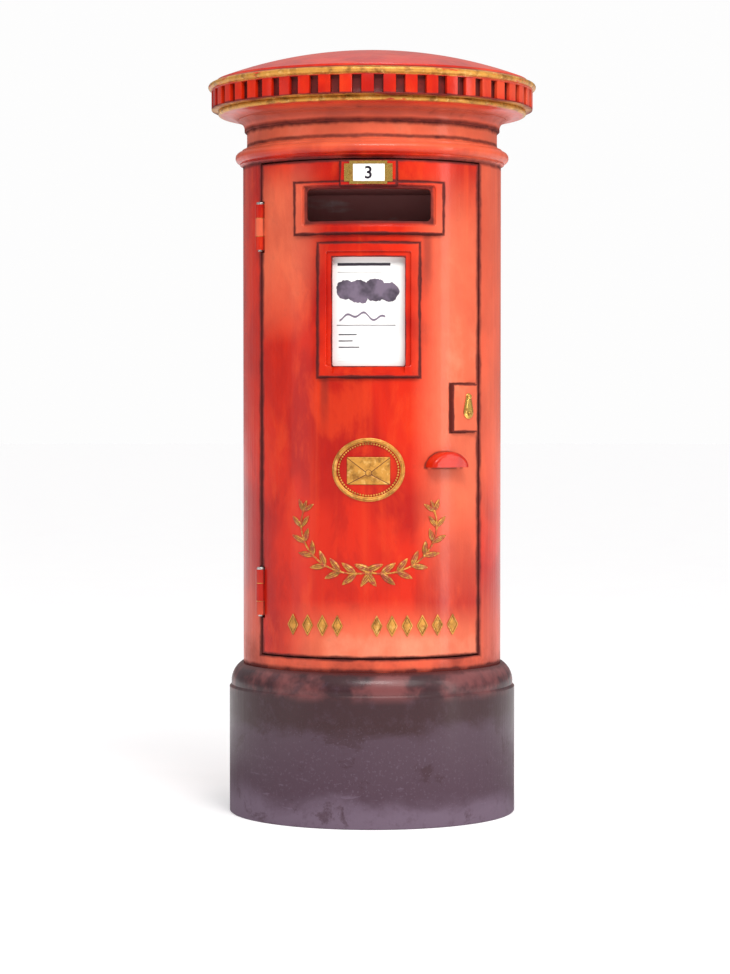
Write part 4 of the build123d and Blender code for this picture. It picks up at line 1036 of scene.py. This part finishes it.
# The sweep's path is a tiny circle, so its radius is taken off each point's, and heights are negated.
half_section = closed_outline("cap_template", [(r * MM - SWEEP_R, -h * MM, 0.0) for r, h in section])
profile = cap_layout.node("GeometryNodeMeshToCurve", None, {0: cap_layout.part(half_section)})
swept = cap_layout.sweep(cap_layout.circle(cap_layout["Steps"], SWEEP_R), profile)
dentil = stock("dentil", dentil_block(DENTIL_WIDE, DENTIL_DEEP, DENTIL_TALL), cap_red)
blocks = dentil_ring(cap_layout, cap_layout.part(dentil))
cap_mesh = cap_layout.make(cap_layout.join(swept, blocks), cap_red)
fitted("cap_casting", cap_mesh, "box", ["cap"])

# %% [markdown]
# ## Ornaments that follow the door
#
# The ornaments were cast in relief on the door, so they bend with it. They are drawn flat first, across and
# up, with their relief as the depth, and then each point is pushed back on to the door's cylinder: its
# place across and up stays, and its distance from the door's middle becomes the door's radius plus its
# relief. Drawing flat keeps the recipes simple, and one node group's worth of arithmetic does the bending
# for them all.


# %% Bend a flat drawing on to the door
def on_the_door(layout, shape):
    """Moves a flat drawing (x across, y minus the relief, z up) on to the door's face."""
    place = layout.node("GeometryNodeInputPosition")
    x, y, z = place.split()
    reach = layout["Door"] - y
    back = (reach * reach - x * x).root() * -1.0
    inputs = {"Geometry": shape, "Position": layout.vector(x, back, z)}
    return layout.node("GeometryNodeSetPosition", None, inputs)


def bent(work):
    """The same bend for a given mesh."""
    for vert in work.verts:
        reach = DOOR_R - vert.co.y
        vert.co.y = -math.sqrt(reach * reach - vert.co.x * vert.co.x)
    return work


# %% [markdown]
# ## Laurel sprays
#
# Two sprays curve up from the foot of the door. Each has a thin stem, pairs of leaves that lean away from
# it, and a berry between the pairs. A carver makes one leaf template and turns it as the stem turns, which
# is what this tree does: it walks the stem, and at every step sets a leaf to each side. The left spray is
# the right one turned over like a page, so its faces are flipped back to point outwards.

# %% Carve one leaf and one berry
LEAF_LONG, LEAF_WIDE = 36 * MM, 13 * MM
RELIEF = 3.4 * MM
SUNK = 1.6 * MM


def carved_leaf(long, wide, high):
    """A leaf that starts at the origin and points up z: raised rib, hollow blades and a turned-in edge."""
    work = bmesh.new()
    rows, across = 9, 4
    hollow = work.verts.layers.float.new(HOLLOW)
    grid = []
    for i in range(rows + 1):
        t = i / rows
        half = wide / 2 * (max(math.sin(math.pi * t ** 0.82), 0.0) ** 0.75) + 0.0004
        line = []
        for j in range(-across, across + 1):
            s = j / across
            blade = 0.42 + 0.42 * math.sin(math.pi * abs(s) ** 0.9)
            rib = 0.58 * max(0.0, 1 - abs(s) * 3.2)
            lift = high * (blade + rib) * (1 - s ** 6) * math.sin(math.pi * (0.12 + 0.80 * t))
            line.append(work.verts.new((half * s, -max(lift, 0.0), long * t)))
            # Painted shade: the hollows beside the rib and the leaf's edge, fading towards the tip, are
            # marked in the hollow value.
            line[-1][hollow] = (1.0 if abs(j) in (1, across) else 0.0) * min(1.0, 4 * (1 - t))
        grid.append(line)
    for lower, upper in zip(grid, grid[1:]):
        for j in range(2 * across):
            work.faces.new((lower[j], lower[j + 1], upper[j + 1], upper[j]))
    left, right = [line[0] for line in grid], [line[-1] for line in grid]
    edge = left + grid[-1][1:] + right[-2::-1] + grid[0][-2:0:-1]
    root = [work.verts.new((v.co.x * 0.92, SUNK, v.co.z)) for v in edge]
    for k in range(len(edge)):
        n = (k + 1) % len(edge)
        work.faces.new((edge[k], edge[n], root[n], root[k]))
    work.faces.new(root)
    bmesh.ops.recalc_face_normals(work, faces=work.faces)
    return work


def carved_bead(radius, flat, segments=10, rings=6):
    """A round bead, flattened front to back."""
    work = bmesh.new()
    bmesh.ops.create_uvsphere(work, u_segments=segments, v_segments=rings, radius=radius)
    bmesh.ops.scale(work, vec=(1.0, flat, 1.0), verts=work.verts)
    return work


leaf = stock("leaf", carved_leaf(LEAF_LONG, LEAF_WIDE, RELIEF * 0.93), worn_gold)
berry = stock("berry", carved_bead(3.1 * MM, 0.9), worn_gold)
print("leaf faces", len(leaf.data.polygons), "berry faces", len(berry.data.polygons))

# %% Walk the stem
laurel = Layout(
    "laurel_sprays", Door=DOOR_R, Leaves=8, Lean=math.radians(38), Stem=1.7 * MM,
    Foot=(-6 * MM, 0.0, 492 * MM), Tip=(126 * MM, 0.0, 606 * MM),
    Foot_Pull=(70 * MM, 0.0, 470 * MM), Tip_Pull=(150 * MM, 0.0, 530 * MM),
)
stem = laurel.node(
    "GeometryNodeCurvePrimitiveBezierSegment", {"mode": "POSITION"},
    {"Resolution": 48, "Start": laurel["Foot"], "Start Handle": laurel["Foot_Pull"],
     "End Handle": laurel["Tip_Pull"], "End": laurel["Tip"]},
)
stops = {"Curve": stem, "Count": laurel["Leaves"]}
steps = laurel.node("GeometryNodeCurveToPoints", {"mode": "COUNT"}, stops)
walk = Wire(laurel.tree, steps.socket.node.outputs["Tangent"])
along_x, _, along_z = walk.split()
heading = along_x.math("ARCTAN2", along_x, along_z)
number = laurel.node("GeometryNodeInputIndex")
growth = 1.0 - number * 0.045
leaves = []
for side in (-1, 1):
    turn = laurel.vector(0.0, heading + laurel["Lean"] * side, 0.0)
    size = laurel.vector(growth, 1.0, growth)
    leaves.append(laurel.on_points(steps, laurel.part(leaf), Rotation=turn, Scale=size))
straight = laurel.vector(0.0, heading, 0.0)
at_tip = number.math("GREATER_THAN", number, laurel["Leaves"] - 1.5)
small = laurel.vector(0.62, 1.0, 0.62)
end_leaf = laurel.on_points(steps, laurel.part(leaf), Selection=at_tip, Rotation=straight, Scale=small)
berries = laurel.on_points(steps, laurel.part(berry))
twig = laurel.sweep(stem, laurel.circle(8, laurel["Stem"]), **{"Fill Caps": True})
spray = laurel.node("GeometryNodeRealizeInstances", None, {0: laurel.join(*leaves, end_leaf, berries, twig)})
other = laurel.transform(spray, Scale=(-1.0, 1.0, 1.0))
other = laurel.node("GeometryNodeFlipFaces", None, {0: other})
laurel_mesh = laurel.make(on_the_door(laurel, laurel.join(spray, other)), worn_gold)
fitted("laurel_casting", laurel_mesh, "door", ["laurel_sprays"], angle=50)

# %% [markdown]
# ## Lozenge row
#
# Along the foot of the door runs a row of raised lozenges, four and then six. Each is a nailhead: four
# sloping faces on a low rim, which throws one lit side and one dark side, so the row reads from across the
# street. One is modelled, and a line of points carries the rest.


# %% Model one lozenge and lay the row
def nailhead(half_wide, half_tall, rim, peak):
    """A four-sided stud on a thin rim; y is minus the relief."""
    work = bmesh.new()
    hollow = work.verts.layers.float.new(HOLLOW)
    # The third number of each level is painted shade: dark at the stud's foot and in the groove inside its
    # rim.
    levels = ((1.0, SUNK, 0.9), (1.0, -rim * 0.8, 0.3), (0.93, -rim, 0.0), (0.80, -rim, 0.2),
              (0.74, -rim * 0.55, 1.0), (0.66, -rim * 0.75, 0.1), (0.10, -peak, 0.0))
    loops = []
    for size, y, shade_amount in levels:
        corners = ((0, 1), (1, 0), (0, -1), (-1, 0))
        ring = []
        for k in range(4):
            a, b = corners[k], corners[(k + 1) % 4]
            for t in (0.06, 0.35, 0.65, 0.94):
                u, v = a[0] + (b[0] - a[0]) * t, a[1] + (b[1] - a[1]) * t
                ring.append(work.verts.new((u * half_wide * size, y, v * half_tall * size)))
                ring[-1][hollow] = shade_amount
        loops.append(ring)
    return lofted(work, loops)


stud = stock("nailhead", nailhead(11 * MM, 21.5 * MM, 1.9 * MM, 3.9 * MM), cast_gold)
row = Layout("lozenge_row", Door=DOOR_R, First=4, Second=6, Pitch=(29 * MM, 0.0, 0.0),
             Start=(-147 * MM, 0.0, 387 * MM), Restart=(16 * MM, 0.0, 387 * MM))
runs = []
for count, start in (("First", "Start"), ("Second", "Restart")):
    inputs = {"Count": row[count], "Start Location": row[start], "Offset": row["Pitch"]}
    line = row.node("GeometryNodeMeshLine", {"mode": "OFFSET"}, inputs)
    runs.append(row.on_points(line, row.part(stud)))
studs = row.node("GeometryNodeRealizeInstances", None, {0: row.join(*runs)})
row_mesh = row.make(on_the_door(row, studs), cast_gold)
fitted("lozenge_casting", row_mesh, "door", ["lozenge_row"], angle=25)

# %% [markdown]
# ## Medallion
#
# The oval medallion in the middle of the door is the box's badge: a moulded rim, a ring of beads, and a
# plain envelope in relief. The rim is a small section swept round an oval and the beads follow the same
# oval, so both are one layout. The envelope is a surface whose height is worked out point by point, as a
# modeller would press it in clay: a rounded slab, a flap with a sharp fold, and a shallow groove where the
# sides meet.

# %% Sweep the rim and set the beads
MEDAL_Z = 686 * MM
RIM_LONG, RIM_TALL = 65.5 * MM, 56.5 * MM


CROWN_STEPS = (0, 0.12, 0.25, 0.4, 0.5, 0.6, 0.75, 0.88, 1)


def rim_section():
    """Half round with a step on each side; x across the rim, y minus the relief."""
    flat = [(-4.2, 1.5), (-4.2, -1.6), (-3.3, -2.2)]
    crown = [(-2.9 + 5.8 * t, -2.4 - 3.3 * math.sin(math.pi * t)) for t in CROWN_STEPS]
    points = flat + crown + [(3.3, -2.2), (4.2, -1.6), (4.2, 1.5)]
    return closed_outline("rim_section", [(x * MM, y * MM, 0.0) for x, y in points])


bead = stock("bead", carved_bead(2.1 * MM, 1.15), cast_gold)
medal = Layout("medallion", Door=DOOR_R, Beads=64, Across=RIM_LONG, Up=RIM_TALL, Middle=MEDAL_Z, Inset=0.877)
upright = medal.transform(medal.circle(128, 1.0), Rotation=(math.pi / 2, 0.0, 0.0))
oval = medal.transform(upright, Scale=medal.vector(medal["Across"], 1.0, medal["Up"]))
edge = medal.node("GeometryNodeMeshToCurve", None, {0: medal.part(rim_section())})
rim = medal.sweep(oval, edge)
inner = medal.transform(oval, Scale=medal.vector(medal["Inset"], 1.0, medal["Inset"]))
places = medal.node("GeometryNodeCurveToPoints", {"mode": "COUNT"}, {"Curve": inner, "Count": medal["Beads"]})
beads = medal.on_points(places, medal.part(bead))
proud = medal.transform(beads, Translation=(0.0, -0.9 * MM, 0.0))
badge = medal.node("GeometryNodeRealizeInstances", None, {0: medal.join(rim, proud)})
raised = medal.transform(badge, Translation=medal.vector(0.0, 0.0, medal["Middle"]))
rim_mesh = medal.make(on_the_door(medal, raised), cast_gold)
fitted("medallion_rim", rim_mesh, "door", ["medallion"], angle=50)
low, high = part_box("medallion")
print("medallion casting", [round(v, 4) for v in low], [round(v, 4) for v in high])

# %% Press the envelope
def soft_step(value, low, high):
    """0 below low, 1 above high, smooth between."""
    t = min(1.0, max(0.0, (value - low) / (high - low)))
    return t * t * (3 - 2 * t)


ENVELOPE = (42.0, 27.0)
ENVELOPE_Z = 684 * MM
FLAP_TIP = -5.0
SEAL_UP, SEAL_R = FLAP_TIP + 1.0, 6.0


def fold_height(u):
    """How high the flap's fold is, u millimetres from the middle."""
    return FLAP_TIP + (ENVELOPE[1] - FLAP_TIP) * abs(u) / ENVELOPE[0]


def seam_height(u):
    """How high the seam of the lower folds is."""
    return FLAP_TIP - (ENVELOPE[1] + FLAP_TIP) * abs(u) / ENVELOPE[0]


def envelope_height(u, v):
    """Relief of the envelope in millimetres; u across and v up, both in millimetres."""
    half_wide, half_tall = ENVELOPE
    corner = 3.0
    past = math.hypot(max(abs(u) - half_wide + corner, 0.0), max(abs(v) - half_tall + corner, 0.0))
    slab = 1 - soft_step(past, corner - 1.4, corner)
    flap = soft_step(v - fold_height(u), -0.5, 0.5)
    ridge = math.exp(-(((v - fold_height(u)) / 1.3) ** 2))
    groove = math.exp(-(((v - seam_height(u)) / 1.1) ** 2)) * (1 - flap)
    puff = 0.5 * math.cos(math.pi * u / half_wide / 2) * math.cos(math.pi * v / half_tall / 2)
    from_seal = math.hypot(u, v - SEAL_UP)
    seal = 1 - soft_step(from_seal, SEAL_R - 1.0, SEAL_R)
    stamped = 3.6 + 0.35 * math.cos(min(from_seal, SEAL_R - 1.0) * 1.9)
    height = 2.2 + puff + 0.6 * flap + 0.5 * ridge - 1.1 * groove
    return slab * (height * (1 - seal) + stamped * seal) - 0.6


def pressed(half_wide, half_tall, middle_z, height, step):
    """A closed relief: a grid whose depth comes from a rule, on a flat back."""
    work = bmesh.new()
    nx, nz = round(2 * half_wide / step), round(2 * half_tall / step)
    front, back = [], []
    for i in range(nx + 1):
        u = -half_wide + 2 * half_wide * i / nx
        front.append([])
        back.append([])
        for k in range(nz + 1):
            v = -half_tall + 2 * half_tall * k / nz
            front[i].append(work.verts.new((u * MM, -height(u, v) * MM, middle_z + v * MM)))
            if i in (0, nx) or k in (0, nz):
                back[i].append(work.verts.new((u * MM, SUNK, middle_z + v * MM)))
            else:
                back[i].append(None)
    for i in range(nx):
        for k in range(nz):
            work.faces.new((front[i][k], front[i + 1][k], front[i + 1][k + 1], front[i][k + 1]))
    loop = [(i, 0) for i in range(nx)] + [(nx, k) for k in range(nz)]
    loop += [(i, nz) for i in range(nx, 0, -1)] + [(0, k) for k in range(nz, 0, -1)]
    for (i, k), (m, n) in zip(loop, loop[1:] + loop[:1]):
        work.faces.new((front[m][n], front[i][k], back[i][k], back[m][n]))
    work.faces.new([back[i][k] for i, k in loop])
    bmesh.ops.recalc_face_normals(work, faces=work.faces)
    return work


def envelope_hollow_shade(place):
    """Painted shade along the fold, the seam, the seal's foot and the envelope's edge."""
    x, _, z = place.split()
    u, v = abs(x) / MM, (z - ENVELOPE_Z) / MM
    fold = abs(v - FLAP_TIP - u * ((ENVELOPE[1] - FLAP_TIP) / ENVELOPE[0]) + 1.4).fade(1.3, 0.4)
    seam = abs(v - FLAP_TIP + u * ((ENVELOPE[1] + FLAP_TIP) / ENVELOPE[0])).fade(1.4, 0.4)
    from_seal = (u * u + (v - SEAL_UP) * (v - SEAL_UP)).root()
    foot = abs(from_seal - SEAL_R).fade(0.9, 0.3)
    edge = (u - ENVELOPE[0]).larger(abs(v) - ENVELOPE[1]).fade(-1.4, -0.4)
    lines = fold.larger(seam * (1 - (v - FLAP_TIP).fade(0.0, 1.0))).larger(edge)
    return lines * from_seal.fade(SEAL_R - 0.4, SEAL_R) + foot * 0.8


envelope_gold = gold_paint("envelope_gold", 0.66, envelope_hollow_shade)
relief = pressed(*ENVELOPE, ENVELOPE_Z, envelope_height, 0.75)
envelope_mesh = kept("envelope_relief", bent(relief), envelope_gold)
fitted("medallion_envelope", envelope_mesh, "door", ["medallion"], angle=60)

# %% [markdown]
# ## Number plate
#
# A small white plate slides in the gold holder above the slot and carries the number of the next
# collection. The plate is pressed steel with a rolled edge and a raised black numeral. The numeral starts
# as text, becomes a mesh while it still lies flat, and only then moves to its place, so the finished object
# needs no turning.

# %% Press the plate and its numeral
def slab(low, high, radius):
    """A box between two corners, with the four edges that run front to back rounded."""
    work = bmesh.new()
    bmesh.ops.create_cube(work, size=1.0)
    size, middle = high - low, (high + low) / 2
    bmesh.ops.scale(work, vec=size, verts=work.verts)
    bmesh.ops.translate(work, vec=middle, verts=work.verts)
    through = [e for e in work.edges if abs(e.verts[0].co.x - e.verts[1].co.x) < 1e-6
               and abs(e.verts[0].co.z - e.verts[1].co.z) < 1e-6]
    bmesh.ops.bevel(work, geom=through, offset=radius, segments=5, profile=0.5, affect="EDGES")
    return work


plate_low, plate_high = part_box("number_plate")
plate_work = slab(plate_low, plate_high, 2.0 * MM)
face = min(plate_work.faces, key=lambda f: f.calc_center_median().y)
bmesh.ops.inset_region(plate_work, faces=[face], thickness=1.6 * MM, depth=0.0)
bmesh.ops.inset_region(plate_work, faces=[face], thickness=0.5 * MM, depth=-0.35 * MM)
plate_mesh = kept("plate", plate_work, plate_white)
fitted("number_plate_enamel", plate_mesh, "number_plate", ["number_plate"], angle=30)
BOLDER = 0.018


def numeral(name, figure, tall, middle, front, thick, material):
    """A raised numeral, upright on the plate's face and centred on it."""
    text = bpy.data.curves.new(name, "FONT")
    text.body = figure
    text.size = tall
    text.extrude = thick / 2
    text.offset = BOLDER * tall
    text.resolution_u = 6
    flat = bpy.data.objects.new(name + "_flat", text)
    bpy.context.scene.collection.objects.link(flat)
    mesh = bpy.data.meshes.new_from_object(flat.evaluated_get(bpy.context.evaluated_depsgraph_get()))
    bpy.data.objects.remove(flat)
    places = [v.co.copy() for v in mesh.vertices]
    mid_x = (min(p.x for p in places) + max(p.x for p in places)) / 2
    mid_y = (min(p.y for p in places) + max(p.y for p in places)) / 2
    for vert in mesh.vertices:
        p = vert.co.copy()
        vert.co = (middle[0] + p.x - mid_x, front - (p.z + thick / 2), middle[1] + p.y - mid_y)
    mesh.materials.clear()
    mesh.materials.append(material)
    return mesh


plate_middle = ((plate_low.x + plate_high.x) / 2, (plate_low.z + plate_high.z) / 2)
figure = numeral("numeral", "3", 33 * MM, plate_middle, plate_low.y + 0.36 * MM, 0.35 * MM, figure_ink)
fitted("number_figure", figure, "number_plate", [], angle=30)

# %% [markdown]
# ## Key cover
#
# A brass drop hangs over the keyhole and swings aside for the key. It is cast, so it is fullest in the
# middle and thin at its rim, with a small knob to push it by. Its outline is what a string makes round two
# discs, a small one at the pivot and a large one over the keyhole. Shrinking both discs by the same amount
# gives the next ring inwards, so a few rings, each a little higher, make the dome. Its pin goes through a
# bore, which is drilled last, so the dome can be laid out as if it were whole.

# %% Dome the key cover
BOSS_FACE = 264 * MM
KEY_X, KEY_Z, PIVOT_Z = 10 * MM, 796 * MM, 826 * MM
PIVOT_DISC, KEY_DISC = 6.5 * MM, 13.0 * MM
KNOB_R, KNOB_LIFT, BORE_R = 4.2 * MM, 3.9 * MM, 2.6 * MM
# Each ring of the dome: how far it shrinks from the outline, and how high it lies on the boss (millimetres).
COVER_RINGS = (
    (0.5, 0.4), (0.0, 0.8), (0.0, 1.3), (0.35, 1.8), (1.2, 2.1),
    (2.4, 2.9), (3.8, 3.4), (5.2, 3.6), (6.3, 3.65),
)


def string_round(shrink, steps=14):
    """Points on a string round the two discs, each smaller by shrink."""
    span = PIVOT_Z - KEY_Z
    lean = math.asin((KEY_DISC - PIVOT_DISC) / span)
    points = []
    for centre, radius, start, turn in ((KEY_Z, KEY_DISC, lean, -(math.pi + 2 * lean)),
                                        (PIVOT_Z, PIVOT_DISC, math.pi - lean, -(math.pi - 2 * lean))):
        for k in range(steps + 1):
            a = start + turn * k / steps
            r = radius - shrink
            points.append((KEY_X + r * math.cos(a), centre + r * math.sin(a)))
    return points


def cover_drop():
    """The domed drop with its knob, facing straight to the front."""
    work = bmesh.new()
    loops = []
    for shrink, lift in COVER_RINGS:
        y = -(BOSS_FACE + lift * MM)
        loops.append([work.verts.new((x, y, z)) for x, z in string_round(shrink * MM)])
    lofted(work, loops)
    knob = carved_bead(KNOB_R, 0.6, 20, 12)
    bmesh.ops.translate(knob, vec=(KEY_X, -(BOSS_FACE + KNOB_LIFT), KEY_Z - 3 * MM), verts=knob.verts)
    spare = bpy.data.meshes.new("knob")
    knob.to_mesh(spare)
    knob.free()
    work.from_mesh(spare)
    bmesh.ops.recalc_face_normals(work, faces=work.faces)
    return work


def bored(mesh, across, up, radius):
    """The mesh with a round hole front to back: a Boolean modifier, run once, takes a cylinder away."""
    work = bmesh.new()
    upright = Matrix.Translation((across, -BOSS_FACE, up)) @ Matrix.Rotation(math.pi / 2, 4, "X")
    bmesh.ops.create_cone(
        work, cap_ends=True, segments=32, radius1=radius, radius2=radius, depth=20 * MM, matrix=upright
    )
    drill = stock("drill", work, brass)
    blank = bpy.data.objects.new("blank", mesh)
    bpy.context.scene.collection.objects.link(blank)
    cut = blank.modifiers.new("bore", "BOOLEAN")
    cut.operation = "DIFFERENCE"
    cut.solver = "EXACT"
    cut.use_self = True
    cut.object = drill
    graph = bpy.context.evaluated_depsgraph_get()
    result = bpy.data.meshes.new_from_object(blank.evaluated_get(graph), depsgraph=graph)
    bpy.data.objects.remove(blank)
    bpy.data.objects.remove(drill)
    return result


cover_mesh = bored(kept("cover", cover_drop(), brass), KEY_X, PIVOT_Z, BORE_R)
cover_mesh.transform(Matrix.Rotation(LOCK_TURN, 4, "Z"))
fitted("key_cover_drop", cover_mesh, "key_cover", ["key_cover"], angle=50)
print("key cover box", [round(v, 4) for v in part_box("key_cover")[0]],
      [round(v, 4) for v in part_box("key_cover")[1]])

# %% [markdown]
# ## Guard rods
#
# Behind the door a cage keeps letters from falling out when it is opened. Thirteen rods stand round a part
# of a circle and pass through hoops, with a bead of weld at each crossing. One rod and one bead are enough:
# the layout bends a line of points round the circle, and sets a rod on each point and a bead at each hoop.

# %% Stand the rods in their arc
rods_low, rods_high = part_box("guard_rods")
ROD_R = 3 * MM
HOOPS = (352 * MM, 590 * MM, 835 * MM, 1078 * MM)


def round_bar(radius, long, sides=14):
    """A bar with domed ends, standing on the origin."""
    work = bmesh.new()
    dome = [(0.35, 0.0), (0.8, 0.12), (1.0, 0.5)]
    angles = [2 * math.pi * k / sides for k in range(sides)]
    loops = []
    for size, z in dome + [(size, long / radius - z) for size, z in reversed(dome)]:
        r = radius * size
        loops.append([work.verts.new((r * math.cos(a), r * math.sin(a), z * radius)) for a in angles])
    return lofted(work, loops)


rod = stock("rod", round_bar(ROD_R, rods_high.z - rods_low.z), blacked)
weld = stock("weld", carved_bead(4.1 * MM, 1.0), blacked)
cage = Layout(
    "guard_rods", Count=13, Arc=195 * MM, First=math.radians(-43.5), Pitch=math.radians(7.25), Low=rods_low.z
)
line = cage.node("GeometryNodeMeshLine", {"mode": "OFFSET"}, {"Count": cage["Count"]})
turn = cage.node("GeometryNodeInputIndex") * cage["Pitch"] + cage["First"]
across = turn.sine() * cage["Arc"]
back = (turn + math.pi / 2).sine() * cage["Arc"] * -1.0
arc_place = {"Geometry": line, "Position": cage.vector(across, back, 0.0)}
arc_points = cage.node("GeometryNodeSetPosition", None, arc_place)
standing = cage.on_points(arc_points, cage.part(rod))
shapes = [cage.transform(standing, Translation=cage.vector(0.0, 0.0, cage["Low"]))]
for hoop in HOOPS:
    joints = cage.on_points(arc_points, cage.part(weld))
    shapes.append(cage.transform(joints, Translation=(0.0, 0.0, hoop)))
rods_mesh = cage.make(cage.join(*shapes), blacked)
fitted("guard_rod_cage", rods_mesh, "guard", ["guard_rods"], angle=50)
print("rods from", round(rods_low.z, 3), "to", round(rods_high.z, 3))

# %% [markdown]
# ## Paint what stays
#
# The castings and fittings whose shape is right already keep their engineering mesh, which is exact. They
# only need their finish, and the record says which one each is meant to have. The door, shell and plinth have
# a finish of their own, because their dirt and wear, and on door and shell their painted shade and light, sit
# in their own places.

# %% Give every fitting its finish
by_slot = {
    "red_enamel": fitting_red,
    "black_enamel": cast_black,
    "gold_paint": cast_gold,
    "brass": brass,
    "white_enamel": plate_white,
    "steel_fastener": zinc,
    "black_steel": blacked,
    "galvanised_sheet": galvanised,
    "lock_steel": lock_metal,
}
own_finish = {
    "door": door_red,
    "shell": shell_red,
    "plinth": cast_black,
    "cap": cap_red,
    "notice_plate": notice_white,
}
for name, casting in jig.items():
    for slot in casting.material_slots:
        slot.material = own_finish.get(name) or by_slot[slot.material.name.split(".")[0]]
print("painted", len(jig), "castings and fittings")

# %% [markdown]
# ## Floor
#
# The box stands on a plain pale floor, wide enough that its edge is never seen. It isn't a part of the box. A
# very faint mottle keeps the contact shadow from looking computed, and the floor glows a little, so it runs
# into the backdrop without a line.

# %% Lay the floor
floor_work = bmesh.new()
bmesh.ops.create_circle(floor_work, cap_ends=True, segments=96, radius=60.0)
floor_mesh = bpy.data.meshes.new("floor")
floor_work.to_mesh(floor_mesh)
floor_work.free()
floor_white, floor_place = new_finish(
    "floor_white", Specular_IOR_Level=0.2, Emission_Color=(1.0, 1.0, 1.0, 1.0), Emission_Strength=0.14
)
speckle = floor_place.noise(3.0, 4.0, 0.6)
floor_colour = (speckle.fade(0.35, 0.7) * 0.6).over(tint(249, 249, 250), tint(246, 245, 247))
feed(floor_white, Base_Color=floor_colour, Roughness=0.7 + speckle * 0.2, Normal=speckle.bump(0.05, 0.001))
floor_mesh.materials.append(floor_white)
floor = bpy.data.objects.new("floor", floor_mesh)
bpy.context.scene.collection.objects.link(floor)
